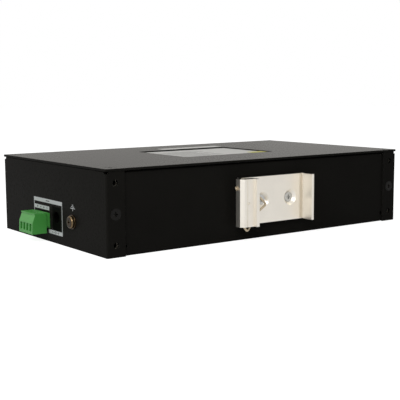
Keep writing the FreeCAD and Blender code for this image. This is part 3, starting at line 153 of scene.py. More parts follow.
class Finish(NodeTree):
    """A material on one Principled shader, with patterns measured in millimetres."""

    def __init__(self, name, **fixed):
        self.material = bpy.data.materials.new(name)
        self.material.use_nodes = True
        super().__init__(self.material.node_tree)
        self.shader = self.add("BsdfPrincipled", {}, {})
        output = self.add("OutputMaterial", {}, {})
        self.tree.links.new(self.shader.outputs["BSDF"], output.inputs["Surface"])
        for name, value in fixed.items():
            self.set(name.replace("_", " "), value)
        coordinates = self.take("TexCoord", "Object")
        self.place_mm = self.vector("SCALE", "Vector", Vector=coordinates, Scale=1 / MM)

    def set(self, name, value):
        """Feeds one socket of the shader."""
        self.feed(self.shader.inputs[name], value)

    def stretched(self, along):
        """The place on the surface, squeezed so that a pattern runs long where along is small."""
        return self.vector("MULTIPLY", "Vector", Vector=self.place_mm, Vector_001=along)

    def grain(self, size_mm, detail=2.0, along=None):
        """Soft noise whose grains are about size_mm across, from 0 to 1."""
        place = self.stretched(along) if along else self.place_mm
        inputs = {"Vector": place, "Scale": 1 / size_mm, "Detail": detail}
        return self.take("TexNoise", "Fac", {}, inputs)

    def ribs(self, pitch_mm, axis):
        """Even waves along one axis, from 0 to 1, such as a thread's turns."""
        settings = {"wave_type": "BANDS", "bands_direction": axis, "wave_profile": "SIN"}
        inputs = {"Vector": self.place_mm, "Scale": math.pi / (10 * pitch_mm)}
        return self.take("TexWave", "Fac", settings, inputs)

    def facing(self, axis):
        """How squarely the surface faces along an axis, either way, from 0 to 1."""
        part = self.part_of(self.take("NewGeometry", "Normal"), axis)
        return self.take("Math", "Value", {"operation": "ABSOLUTE"}, {"Value": part})

    def rounded(self, radius_mm):
        """The surface's normal with its edges rounded over."""
        return self.take("Bevel", "Normal", {"samples": 4}, {"Radius": radius_mm * MM})

    def edges(self, radius_mm):
        """1 along the edges and 0 on the flats."""
        flat = self.take("NewGeometry", "Normal")
        round_over = self.rounded(radius_mm)
        turned = self.vector("DOT_PRODUCT", "Value", Vector=round_over, Vector_001=flat)
        return self.band(1 - turned, 0.01, 0.12)

    def bump(self, height, depth_mm, rounding_mm=0.0):
        """Raises the surface by a height of 0 to 1 times depth_mm."""
        inputs = {"Height": height, "Distance": depth_mm * MM}
        if rounding_mm:
            inputs["Normal"] = self.rounded(rounding_mm)
        self.set("Normal", self.take("Bump", "Normal", {}, inputs))


def shade(colour, share):
    """A colour made darker or lighter by a factor."""
    return tuple(part * share for part in colour)


# ---------------------------------------------------------------------------
# Finishes
# ---------------------------------------------------------------------------


def metal(name, colour, roughness, grain_mm=0.6, depth_mm=0.006, wear=0.5, **fixed):
    """Bare or plated metal: faint stains, fine pits and edges that handling has polished."""
    made = Finish(name, Metallic=1.0, **fixed)
    stains = made.band(made.grain(5.0, 4.0), 0.35, 0.7)
    worn_and_highlit = made.edges(0.12) * made.band(made.grain(1.5), 0.3, 0.6) * wear
    pits = made.grain(grain_mm, 3.0)
    dull = made.blend(colour, shade(colour, 0.78), stains * 0.6)
    made.set("Base Color", made.blend(dull, shade(colour, 1.12), worn_and_highlit))
    made.set("Roughness", roughness + 0.12 * pits - 0.1 * worn_and_highlit)
    made.bump(pits, depth_mm, 0.08)
    return made


def moulding(name, colour, roughness, grain_mm=0.22, depth_mm=0.006, rounding_mm=0.12, **fixed):
    """Moulded plastic: a fine spark-eroded skin, faint flow clouds and softened edges."""
    made = Finish(name, **fixed)
    clouds = made.grain(6.0, 3.0)
    skin = made.grain(grain_mm, 2.0)
    worn_and_highlit = made.edges(rounding_mm)
    body = made.blend(shade(colour, 0.88), shade(colour, 1.08), clouds)
    made.set("Base Color", made.blend(body, shade(colour, 1.25), worn_and_highlit * 0.35))
    made.set("Roughness", roughness + 0.14 * skin - 0.06 * worn_and_highlit)
    made.bump(skin, depth_mm, rounding_mm)
    return made


def black_powder_coat(colours):
    """Fine-textured satin powder coat, thin and a little bare along its edges."""
    coat = Finish("black_powder_coat", IOR=1.06)
    clouds = coat.grain(28.0, 3.0)
    skin = 0.65 * coat.grain(0.42, 2.0) + 0.35 * coat.grain(1.3, 1.0)
    worn_and_highlit = coat.edges(0.3) * coat.band(coat.grain(2.2, 3.0), 0.42, 0.62)
    dark = coat.blend(shade(colours.powder_coat, 0.8), shade(colours.powder_coat, 1.2), clouds)
    coat.set("Base Color", coat.blend(dark, colours.bare_edge, worn_and_highlit * 0.3))
    coat.set("Roughness", 0.22 + 0.12 * skin)
    coat.bump(skin, 0.007, 0.35)
    return coat


def clip_aluminium(colours):
    """Bead-blasted, clear-anodised extrusion whose saw-cut ends have real saw marks and are drawn
    dark as painted shade.
    """
    made = Finish("clip_aluminium", Metallic=0.92)
    blast = made.grain(0.22, 3.0)
    clouds = made.grain(9.0, 3.0)
    # Painted shade: the ends facing along Z are drawn near black to stand in for the shade on them;
    # their saw marks, roughness and bump are the real saw-cut finish.
    sawn_and_shaded = made.band(made.facing("Z"), 0.9, 0.99)
    marks = made.grain(0.35, 2.0, (0.04, 1.0, 1.0))
    skin = made.blend(shade(colours.clip, 0.95), shade(colours.clip, 1.04), clouds)
    pitted = made.blend(skin, shade(colours.clip, 0.82), made.band(blast, 0.62, 0.8))
    ends = made.blend(shade(colours.sawn_end, 0.8), shade(colours.sawn_end, 1.25), marks)
    made.set("Base Color", made.blend(pitted, ends, sawn_and_shaded))
    made.set("Roughness", 0.3 + 0.1 * blast + 0.12 * sawn_and_shaded)
    made.bump(blast * (1 - sawn_and_shaded) + marks * sawn_and_shaded, 0.01, 0.12)
    return made


def bright_screw_steel(colours):
    """Zinc-plated steel with a fine turned grain."""
    return metal("bright_screw_steel", (0.62, 0.62, 0.6), 0.26)


def black_screw_steel(colours):
    """Black zinc on steel, brassed a little at its edges."""
    made = Finish("black_screw_steel", Metallic=0.85)
    worn_and_highlit = made.edges(0.12) * made.band(made.grain(0.8), 0.4, 0.6)
    skin = made.grain(0.5, 3.0)
    dark = made.blend((0.006, 0.006, 0.006), (0.016, 0.0155, 0.0145), skin)
    made.set("Base Color", made.blend(dark, (0.2, 0.18, 0.15), worn_and_highlit * 0.6))
    made.set("Roughness", 0.38 + 0.14 * skin)
    made.bump(skin, 0.006, 0.08)
    return made


def nut_steel(colours):
    """Passivated steel of the sheet nuts."""
    return metal("nut_steel", (0.5, 0.47, 0.4), 0.36)


def standoff_steel(colours):
    """Tinned steel of the board's standoffs and screws."""
    return metal("standoff_steel", (0.58, 0.57, 0.53), 0.32)


def label_film(colours):
    """Matt polyester film with a soft satin face."""
    film = Finish("label_film", Coat_Roughness=0.35)
    fibres = film.grain(0.5, 3.0)
    clouds = film.grain(14.0, 2.0)
    worn_and_highlit = film.edges(0.2)
    body = film.blend(shade(colours.label, 0.94), shade(colours.label, 1.05), clouds)
    film.set("Base Color", film.blend(body, shade(colours.label, 0.72), worn_and_highlit * 0.6))
    film.set("Roughness", 0.46 + 0.12 * fibres)
    film.bump(fibres, 0.004)
    return film


def seal_paper(colours):
    """Yellow brittle paper that tears when it is lifted."""
    paper = Finish("seal_paper")
    fibres = paper.grain(0.35, 4.0)
    worn_and_highlit = paper.edges(0.2)
    body = paper.blend(shade(colours.seal, 0.86), shade(colours.seal, 1.06), fibres)
    paper.set("Base Color", paper.blend(body, shade(colours.seal, 0.6), worn_and_highlit * 0.5))
    paper.set("Roughness", 0.55 + 0.2 * fibres)
    paper.bump(fibres, 0.01)
    return paper


def spring_wire(colours):
    """Drawn steel wire with a warm straw tint and draw lines along it."""
    return metal("spring_wire", (0.56, 0.47, 0.34), 0.27, grain_mm=0.25, wear=0.8)


def board_laminate(colours):
    """Green solder mask over copper traces, on a glass laminate."""
    made = Finish("board_laminate", IOR=1.5)
    across = made.ribs(1.27, "X")
    along = made.ribs(1.27, "Y")
    zones = made.band(made.grain(11.0, 1.0), 0.47, 0.53)
    lines = made.band(across * zones + along * (1 - zones), 0.62, 0.72)
    traces = lines * made.band(made.grain(5.0, 2.0), 0.42, 0.5)
    mask = made.blend((0.008, 0.07, 0.03), (0.012, 0.09, 0.04), made.grain(8.0, 3.0))
    copper = made.blend(mask, (0.03, 0.16, 0.06), traces)
    rim = made.band(made.facing("Z"), 0.3, 0.6)
    made.set("Base Color", made.blend((0.2, 0.19, 0.1), copper, rim))
    made.set("Roughness", 0.3 + 0.12 * made.grain(0.8))
    made.bump(traces, 0.03, 0.1)
    return made


def crystal_can(colours):
    """Bright drawn steel cans of the clock crystals."""
    return metal("crystal_can", (0.66, 0.65, 0.62), 0.2, grain_mm=1.2)


def black_mould(colours):
    """Epoxy of the chips, coils and transformers."""
    return moulding("black_mould", (0.018, 0.018, 0.019), 0.48, grain_mm=0.12)


def lamp_package(colours):
    """White ceramic-filled bodies of the small lamps."""
    return moulding("lamp_package", (0.62, 0.61, 0.55), 0.4, grain_mm=0.15)


def capacitor_sleeve(colours):
    """Shrunk sleeve with a pale stripe down one side and a bright scored top."""
    made = Finish("capacitor_sleeve")
    top = made.band(made.facing("Z"), 0.9, 0.98)
    skin = made.grain(0.8, 2.0)
    sleeve = made.blend((0.012, 0.014, 0.03), (0.02, 0.022, 0.045), skin)
    made.set("Base Color", made.blend(sleeve, (0.55, 0.55, 0.53), top))
    made.set("Metallic", top)
    made.set("Roughness", 0.3 + 0.1 * skin)
    made.bump(skin, 0.012, 0.2)
    return made


def heatsink_aluminium(colours):
    """Black-anodised extrusion, with lines from its die along the fins."""
    made = Finish("heatsink_aluminium", Metallic=0.6)
    lines = made.grain(0.2, 2.0, (1.0, 0.03, 1.0))
    worn_and_highlit = made.edges(0.15)
    dark = made.blend((0.02, 0.02, 0.021), (0.035, 0.035, 0.036), lines)
    made.set("Base Color", made.blend(dark, (0.25, 0.25, 0.25), worn_and_highlit * 0.5))
    made.set("Roughness", 0.36 + 0.15 * lines)
    made.bump(lines, 0.008, 0.1)
    return made


def socket_plastic(colours):
    """Glass-filled black plastic of the network sockets."""
    return moulding("socket_plastic", (0.02, 0.02, 0.02), 0.42, grain_mm=0.3)


def contact_gold(colours):
    """Gold over nickel on the spring contacts."""
    return metal("contact_gold", (0.9, 0.62, 0.24), 0.18, grain_mm=0.4, depth_mm=0.003)


def cage_nickel(colours):
    """Folded nickel-silver sheet with its rolling lines along the cage."""
    made = Finish("cage_nickel", Metallic=1.0)
    lines = made.grain(0.18, 2.0, (1.0, 0.04, 1.0))
    stains = made.grain(7.0, 4.0)
    worn_and_highlit = made.edges(0.15)
    sheet = made.blend((0.5, 0.49, 0.45), (0.64, 0.63, 0.59), stains)
    made.set("Base Color", made.blend(sheet, (0.75, 0.74, 0.7), worn_and_highlit * 0.6))
    made.set("Roughness", 0.24 + 0.14 * lines)
    made.bump(lines, 0.004, 0.1)
    return made


def light_pipe_plastic(colours):
    """Clear polycarbonate with a faint haze."""
    return moulding(
        "light_pipe_plastic", (0.8, 0.84, 0.82), 0.12, grain_mm=0.9, depth_mm=0.004,
        Transmission_Weight=0.85, IOR=1.58,
    )


def terminal_green(colours):
    """Flame-resistant green nylon with a satin moulded skin."""
    return moulding("terminal_green", colours.terminal, 0.34, grain_mm=0.28, depth_mm=0.008)


def tinned_copper(colours):
    """Matt tin over copper."""
    return metal("tinned_copper", (0.66, 0.64, 0.6), 0.34, depth_mm=0.004)


def clamp_steel(colours):
    """Plated steel of the clamp screws and cages."""
    return metal("clamp_steel", (0.32, 0.31, 0.28), 0.3)


def jack_plastic(colours):
    """Black nylon of the power jack."""
    return moulding("jack_plastic", (0.0025, 0.0027, 0.0022), 0.4, grain_mm=0.25, IOR=1.06)


def jack_pin_metal(colours):
    """Nickel-plated centre pin."""
    return metal("jack_pin_metal", (0.62, 0.6, 0.55), 0.22)


def ground_brass(colours):
    """Brass screw, washer and nut drawn darker than brass as painted shade: tarnished on the flats,
    polished along the edges, with a painted highlight on the rounded rims.
    """
    made = Finish("ground_brass", Metallic=1.0)
    stains = made.band(made.grain(2.4, 4.0), 0.35, 0.65)
    scuffs = made.grain(0.3, 3.0, (1.0, 0.3, 1.0))
    # The edges stand for polish from handling; the rounded rims, the faces that do not look squarely
    # along X, carry a painted highlight. Both are blended to bright brass.
    rim = 1 - made.band(made.facing("X"), 0.75, 0.98)
    worn_and_highlit = made.maths("MAXIMUM", made.edges(0.25) * 0.8, rim * 0.7)
    # colours.brass is drawn near black, far darker than brass, as painted shade.
    body = made.blend(colours.brass, colours.tarnish, stains * 0.55)
    made.set("Base Color", made.blend(body, colours.brass_edge, worn_and_highlit))
    made.set("Roughness", 0.12 + 0.12 * scuffs)
    made.bump(scuffs, 0.03, 0.2)
    return made


def print_ink(name, colour):
    """Screen-printed ink: a little thicker here and thinner there."""
    ink = Finish(name, IOR=1.4)
    patchy = ink.grain(0.35, 3.0)
    thin = ink.band(ink.grain(1.6, 3.0), 0.6, 0.8)
    body = ink.blend(shade(colour, 0.93), shade(colour, 1.04), patchy)
    ink.set("Base Color", ink.blend(body, shade(colour, 0.75), thin * 0.4))
    ink.set("Roughness", 0.5 + 0.15 * patchy)
    ink.bump(patchy, 0.004)
    return ink.material


# ---------------------------------------------------------------------------
# Meshes
# ---------------------------------------------------------------------------


def finished_piece(name, mesh, material, body):
    """Turns a bmesh into a piece of the object that rides on a body of the frame."""
    bmesh.ops.recalc_face_normals(mesh, faces=mesh.faces)
    data = bpy.data.meshes.new(name)
    mesh.to_mesh(data)
    mesh.free()
    data.materials.append(material)
    piece = bpy.data.objects.new(name, data)
    bpy.context.scene.collection.objects.link(piece)
    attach(piece, body)
    return piece


def plate(mesh, low, high, axis, corner):
    """Adds a thin plate between two corners, with the edges along one axis rounded."""
    low, high = Vector(low), Vector(high)
    made = bmesh.ops.create_cube(mesh, size=1.0)["verts"]
    bmesh.ops.scale(mesh, vec=high - low, verts=made)
    bmesh.ops.translate(mesh, vec=(low + high) / 2, verts=made)
    edges = {edge for vert in made for edge in vert.link_edges}
    along = [e for e in edges if abs((e.verts[1].co - e.verts[0].co).normalized()[axis]) > 0.9]
    bmesh.ops.bevel(
        mesh, geom=along, offset=corner, segments=3, profile=0.5, affect="EDGES", material=-1
    )


def ring(mesh, centre, inner, outer, depth):
    """Adds a flat ring that stands depth out along -X from a centre on a face."""
    corners = [
        mesh.verts.new(centre + Vector((x, radius, 0.0)))
        for x, radius in ((0.0, inner), (0.0, outer), (-depth, outer), (-depth, inner))
    ]
    section = [mesh.edges.new((corners[i - 1], corners[i])) for i in range(4)]
    bmesh.ops.spin(
        mesh, geom=corners + section, cent=centre, axis=(1.0, 0.0, 0.0),
        angle=math.tau, steps=24, use_merge=True,
    )


class FacePrint:
    """Ink on the left end's outer face, laid out in y and z."""

    def __init__(self, face_x, thickness, corner):
        self.mesh = bmesh.new()
        self.face_x = face_x
        self.thickness = thickness
        self.corner = corner

    def patch(self, y_low, y_high, z_low, z_high):
        """A rectangle of ink."""
        low = (self.face_x - self.thickness, y_low, z_low)
        high = (self.face_x, y_high, z_high)
        plate(self.mesh, low, high, 0, self.corner)

    def stroke(self, y, z, width, height):
        """A rectangle of ink about its centre."""
        self.patch(y - width / 2, y + width / 2, z - height / 2, z + height / 2)

    def plus(self, y, z, size, width):
        """A plus sign, in three strokes that meet."""
        self.stroke(y, z, width, size)
        arm = (size - width) / 2
        for side in (-1, 1):
            self.stroke(y + side * (width + arm) / 2, z, arm, width)


# ---------------------------------------------------------------------------
# Settings
# ---------------------------------------------------------------------------


def colour_property(name, description, default):
    """A colour that the sidebar shows as a swatch."""
    return bpy.props.FloatVectorProperty(
        name=name, description=description, default=default, subtype="COLOR", min=0.0, max=1.0
    )


def length_property(name, description, default_mm):
    """A length, kept in metres."""
    return bpy.props.FloatProperty(
        name=name, description=description, default=default_mm * MM, unit="LENGTH", precision=5
    )


class SwitchColours(bpy.types.PropertyGroup):
    """The colours that a repaint would change."""

    powder_coat: colour_property("Powder coat", "Black of the housing", (0.0128, 0.0122, 0.0108))
    bare_edge: colour_property("Bare edge", "Steel along a worn edge", (0.12, 0.12, 0.11))
    clip: colour_property("Rail clip", "Anodised faces of the rail clip", (0.925, 0.88, 0.8))
    # Painted shade: this near-black colour stands in for the shade on the clip's saw-cut ends.
    sawn_end: colour_property("Sawn end", "Saw-cut ends of the rail clip", (0.042, 0.04, 0.032))
    terminal: colour_property("Terminal plug", "Green of the plug and header", (0.07, 0.36, 0.062))
    # Painted shade: this brass is drawn near black to stand in for the dark the screw head reflects.
    brass: colour_property("Ground screw", "Bright brass", (0.034, 0.022, 0.012))
    # Bright brass for the polished edges and for the painted highlight on the screw's rounded rims.
    brass_edge: colour_property("Brass edge", "Brass that handling has polished", (0.24, 0.17, 0.095))
    tarnish: colour_property("Tarnish", "Brown film on the brass", (0.02, 0.012, 0.007))
    label: colour_property("Label", "Film of the labels", (0.52, 0.52, 0.5))
    seal: colour_property("Seal", "Paper of the seal sticker", (0.55, 0.52, 0.12))
    print_white: colour_property("White ink", "Marks on the left end", (0.55, 0.575, 0.575))
    print_dark: colour_property("Dark ink", "Signs inside the white marks", (0.07, 0.072, 0.075))
    label_print: colour_property("Label ink", "Rules on the rating label", (0.2, 0.2, 0.2))


class MarkSizes(bpy.types.PropertyGroup):
    """Where the marks on the left end lie, and how large they are."""

    thickness: length_property("Ink thickness", "How far the ink stands off the face", 0.02)
    corner: length_property("Corner", "Rounding of the white bars", 0.12)
    sign_corner: length_property("Sign corner", "Rounding of the dark strokes", 0.06)
    line: length_property("Line", "Width of the frame's side lines", 0.5)
    stroke: length_property("Stroke", "Width of a sign's strokes", 0.42)
    bar: length_property("Bar height", "Height of the white bars", 2.1)
    top_bar: length_property("Top bar", "Height of the top bar's lower edge", 21.0)
    sign_bar: length_property("Sign bar", "Height of the sign bar's lower edge", 17.05)
    low_bar: length_property("Low bar", "Height of the low bar's lower edge", 4.7)
    plug_side: length_property("Plug side", "Frame past the plug's middle", 10.1)
    jack_side: length_property("Jack side", "Frame past the jack's middle", 6.8)
    sign_pitch: length_property("Sign pitch", "Spacing of the terminal signs", 3.81)
    sign_size: length_property("Sign size", "Size of a terminal sign", 1.3)
    sign_bar_end: length_property("Sign bar end", "From the plug's middle to its end", 8.382)
    rule: length_property("Rule", "Length of the plain rule on the top bar", 4.2)
    rule_height: length_property("Rule height", "Height of that rule", 0.5)
    low_bar_end: length_property("Low bar end", "From the plug's middle to its start", 7.239)
    polarity_size: length_property("Polarity size", "Size of the jack's plus and minus", 1.2)
    polarity_spread: length_property("Polarity spread", "From the ring to each of them", 3.4)
    ring_inner: length_property("Ring, inside", "Inner radius of the ring between them", 0.5)
    ring_outer: length_property("Ring, outside", "Outer radius of that ring", 0.8)
    link: length_property("Link", "Length of the line from the ring to each sign", 1.3)
    link_centre: length_property("Link centre", "From the ring's middle to that line's", 1.75)
    link_width: length_property("Link width", "Width of that line", 0.25)
    earth_centre: length_property("Earth sign", "Height of its longest bar above the screw", 7.0)
    earth_stroke: length_property("Earth stroke", "Width of the earth sign's strokes", 0.38)
    earth_corner: length_property("Earth corner", "Rounding of its strokes", 0.1)
    earth_step: length_property("Earth step", "Spacing of the earth sign's bars", 0.85)
    earth_stem: length_property("Earth stem", "Length of the earth sign's stem", 1.2)
    earth_width: length_property("Earth width", "Length of the earth sign's longest bar", 5.2)


class LabelSizes(bpy.types.PropertyGroup):
    """The rules printed on the rating label."""

    thickness: length_property("Ink thickness", "How far the ink stands off the film", 0.01)
    margin: length_property("Margin", "From the film's edge to the frame line", 2.0)
    line: length_property("Line", "Width of the frame line", 0.3)
    corner: length_property("Corner", "Rounding of a rule's ends", 0.05)
    row: length_property("Row height", "Thickness of a printed row", 0.9)
    pitch: length_property("Row pitch", "Spacing of the rows", 2.4)


class StudioSettings(bpy.types.PropertyGroup):
    """The camera and the lamps."""

    azimuth: bpy.props.FloatProperty(
        name="Azimuth", description="Camera's turn about the object", default=math.radians(-36.159),
        subtype="ANGLE",
    )
    elevation: bpy.props.FloatProperty(
        name="Elevation", description="Camera's height as an angle", default=math.radians(7.475),
        subtype="ANGLE",
    )
    roll: bpy.props.FloatProperty(
        name="Roll", description="Camera's lean", default=math.radians(-0.299), subtype="ANGLE"
    )
    distance: length_property("Distance", "From the camera to its target", 528.4)
    target_x: length_property("Target X", "Where the camera looks, along the switch", -3.517)
    target_z: length_property("Target height", "Where the camera looks, above the floor", 14.879)
    lens: bpy.props.FloatProperty(
        name="Lens", description="Focal length in millimetres on a 36 mm sensor", default=78.42
    )
    floor_radius: length_property("Floor", "Radius of the floor", 3000.0)
    key_power: bpy.props.FloatProperty(
        name="Key", description="Power of the lamp on the left, in watts", default=5.2
    )
    card_power: bpy.props.FloatProperty(
        name="Card", description="Power of the soft card in front, in watts", default=0.8
    )
    top_power: bpy.props.FloatProperty(
        name="Top", description="Power of the lamp above, in watts", default=3.2
    )
    back_power: bpy.props.FloatProperty(
        name="Back", description="Power of the soft card behind, in watts", default=0.12
    )


# ---------------------------------------------------------------------------
# Operators
# ---------------------------------------------------------------------------


def nodes_in(slot):
    """The CAD nodes that the record gives a material slot."""
    parts = frame["record"]["subparts"]
    found = [part["node"] for part in parts if part["material_slot"] == slot]
    if not found:
        raise ValueError(f"no node has the material slot {slot}")
    return found


def dress(slot, finish):
    """Gives a finish to every CAD node in a slot."""
    for name in nodes_in(slot):
        node = frame["nodes"][name]
        if not node.material_slots:
            node.data.materials.append(finish.material)
        for place in node.material_slots:
            place.material = finish.material


class FinishOperator(bpy.types.Operator):
    """What the finishing operators share"""

    bl_options = {"REGISTER", "UNDO"}
    finishes = ()

    def execute(self, context):
        for make in self.finishes:
            dress(make.__name__, make(context.scene.switch_colours))
        return {"FINISHED"}


class SWITCH_OT_finish_housing(FinishOperator):
    """Powder-coats the tray, its end caps and the cover"""

    bl_idname = "switch.finish_housing"
    bl_label = "Finish the housing"
    finishes = (black_powder_coat,)


class SWITCH_OT_finish_labels(FinishOperator):
    """Gives the labels their film and the seal its paper"""

    bl_idname = "switch.finish_labels"
    bl_label = "Finish the labels"
    finishes = (label_film, seal_paper)


class SWITCH_OT_finish_fasteners(FinishOperator):
    """Plates the screws, nuts and standoffs"""

    bl_idname = "switch.finish_fasteners"
    bl_label = "Finish the fasteners"
    finishes = (bright_screw_steel, black_screw_steel, nut_steel, standoff_steel)


class SWITCH_OT_finish_rail_clip(FinishOperator):
    """Blasts the rail clip and draws its spring wire"""

    bl_idname = "switch.finish_rail_clip"
    bl_label = "Finish the rail clip"
    finishes = (clip_aluminium, spring_wire)


class SWITCH_OT_finish_ground_point(FinishOperator):
    """Gives the ground screw, its washer and nut their brass"""

    bl_idname = "switch.finish_ground_point"
    bl_label = "Finish the ground point"
    finishes = (ground_brass,)


class SWITCH_OT_finish_board(FinishOperator):
    """Finishes the circuit board and what is soldered to it"""

    bl_idname = "switch.finish_board"
    bl_label = "Finish the board"
    finishes = (board_laminate, crystal_can, black_mould, capacitor_sleeve, heatsink_aluminium)


class SWITCH_OT_finish_ports(FinishOperator):
    """Finishes the network sockets, module cages, light pipes and lamps"""

    bl_idname = "switch.finish_ports"
    bl_label = "Finish the ports"
    finishes = (socket_plastic, contact_gold, cage_nickel, light_pipe_plastic, lamp_package)


class SWITCH_OT_finish_power_inlets(FinishOperator):
    """Finishes the terminal plug, its clamps and the power jack"""

    bl_idname = "switch.finish_power_inlets"
    bl_label = "Finish the power inlets"
    finishes = (terminal_green, tinned_copper, clamp_steel, jack_plastic, jack_pin_metal)


class SWITCH_OT_print_power_marks(bpy.types.Operator):
    """Prints the frame round the power inlets, with plain signs over the terminals"""

    bl_idname = "switch.print_power_marks"
    bl_label = "Print the power marks"

    def execute(self, context):
        sizes = context.scene.switch_marks
        colours = context.scene.switch_colours
        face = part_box("left_end_cap")[0].x
        plug = sum(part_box("power_plug"), Vector()) / 2
        jack = sum(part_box("power_jack"), Vector()) / 2
        left, right = plug.y + sizes.plug_side, jack.y - sizes.jack_side
        white = FacePrint(face, sizes.thickness, sizes.corner)
        white.patch(right, left, sizes.top_bar, sizes.top_bar + sizes.bar)
        sign_right = plug.y - sizes.sign_bar_end
        sign_left = left - sizes.line
        white.patch(sign_right, sign_left, sizes.sign_bar, sizes.sign_bar + sizes.bar)
        low_left = plug.y - sizes.low_bar_end
        white.patch(right, low_left, sizes.low_bar, sizes.low_bar + sizes.bar)
        low_top = sizes.low_bar + sizes.bar
        white.patch(right, right + sizes.line, low_top, sizes.top_bar)
        white.patch(left - sizes.line, left, sizes.low_bar, sizes.top_bar)
        ink = print_ink("white_ink", colours.print_white)
        finished_piece("power_marks", white.mesh, ink, "root")
        self.signs(sizes, colours, face, plug, (left, right), low_left)
        return {"FINISHED"}

    def signs(self, sizes, colours, face, plug, frame_sides, low_left):
        """The dark signs, which lie on the white bars."""
        left, right = frame_sides
        dark = FacePrint(face - sizes.thickness, sizes.thickness / 2, sizes.sign_corner)
        middle = sizes.sign_bar + sizes.bar / 2
        for place in range(POLES):
            y = plug.y + ((POLES - 1) / 2 - place) * sizes.sign_pitch
            if place % 2:
                dark.stroke(y, middle, sizes.sign_size, sizes.stroke)
            else:
                dark.plus(y, middle, sizes.sign_size, sizes.stroke)
        middle = sizes.top_bar + sizes.bar / 2
        dark.stroke((left + right) / 2, middle, sizes.rule, sizes.rule_height)
        middle = sizes.low_bar + sizes.bar / 2
        centre = (low_left + right) / 2
        size = sizes.polarity_size
        dark.stroke(centre + sizes.polarity_spread, middle, size, sizes.stroke)
        dark.plus(centre - sizes.polarity_spread, middle, size, sizes.stroke)
        hub = Vector((dark.face_x, centre, middle))
        ring(dark.mesh, hub, sizes.ring_inner, sizes.ring_outer, dark.thickness)
        for side in (-1, 1):
            y = centre + side * sizes.link_centre
            dark.stroke(y, middle, sizes.link, sizes.link_width)
        ink = print_ink("dark_ink", colours.print_dark)
        finished_piece("power_signs", dark.mesh, ink, "root")


class SWITCH_OT_print_earth_sign(bpy.types.Operator):
    """Prints the earth sign over the ground screw"""

    bl_idname = "switch.print_earth_sign"
    bl_label = "Print the earth sign"

    def execute(self, context):
        sizes = context.scene.switch_marks
        colours = context.scene.switch_colours
        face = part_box("left_end_cap")[0].x
        screw = sum(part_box("ground_screw"), Vector()) / 2
        white = FacePrint(face, sizes.thickness, sizes.earth_corner)
        base = screw.z + sizes.earth_centre
        for row, share in enumerate(EARTH_BARS):
            height = base + row * sizes.earth_step
            white.stroke(screw.y, height, sizes.earth_width * share, sizes.earth_stroke)
        stem_top = base - sizes.earth_stroke / 2
        half = sizes.earth_stroke / 2
        white.patch(screw.y - half, screw.y + half, stem_top - sizes.earth_stem, stem_top)
        ink = print_ink("earth_ink", colours.print_white)
        finished_piece("earth_sign", white.mesh, ink, "root")
        return {"FINISHED"}


def row_share(row):
    """How much of the label's width a printed row takes, uneven from row to row."""
    return 0.3 + 0.24 * abs(math.sin(2.4 * row))


class SWITCH_OT_print_label(bpy.types.Operator):
    """Prints a frame line and plain rows on the rating label"""

    bl_idname = "switch.print_label"
    bl_label = "Print the rating label"

    def execute(self, context):
        sizes = context.scene.switch_label
        low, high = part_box("rating_label")
        mesh = bmesh.new()
        top = high.z + sizes.thickness
        left, right = low.x + sizes.margin, high.x - sizes.margin
        near, far = low.y + sizes.margin, high.y - sizes.margin
        line = sizes.line

        def rule(x0, x1, y0, y1):
            plate(mesh, (x0, y0, high.z), (x1, y1, top), 2, sizes.corner)

        for y in (near, far - line):
            rule(left, right, y, y + line)
        for x in (left, right - line):
            rule(x, x + line, near + line, far - line)
        width = right - left
        start = left + sizes.pitch
        rows = int((far - near - 4 * sizes.pitch) / sizes.pitch)
        for row in range(rows):
            y = near + (row + 1.5) * sizes.pitch
            rule(start, start + row_share(row) * width, y, y + sizes.row)
        ink = print_ink("label_ink", context.scene.switch_colours.label_print)
        finished_piece("label_rules", mesh, ink, "root")
        return {"FINISHED"}


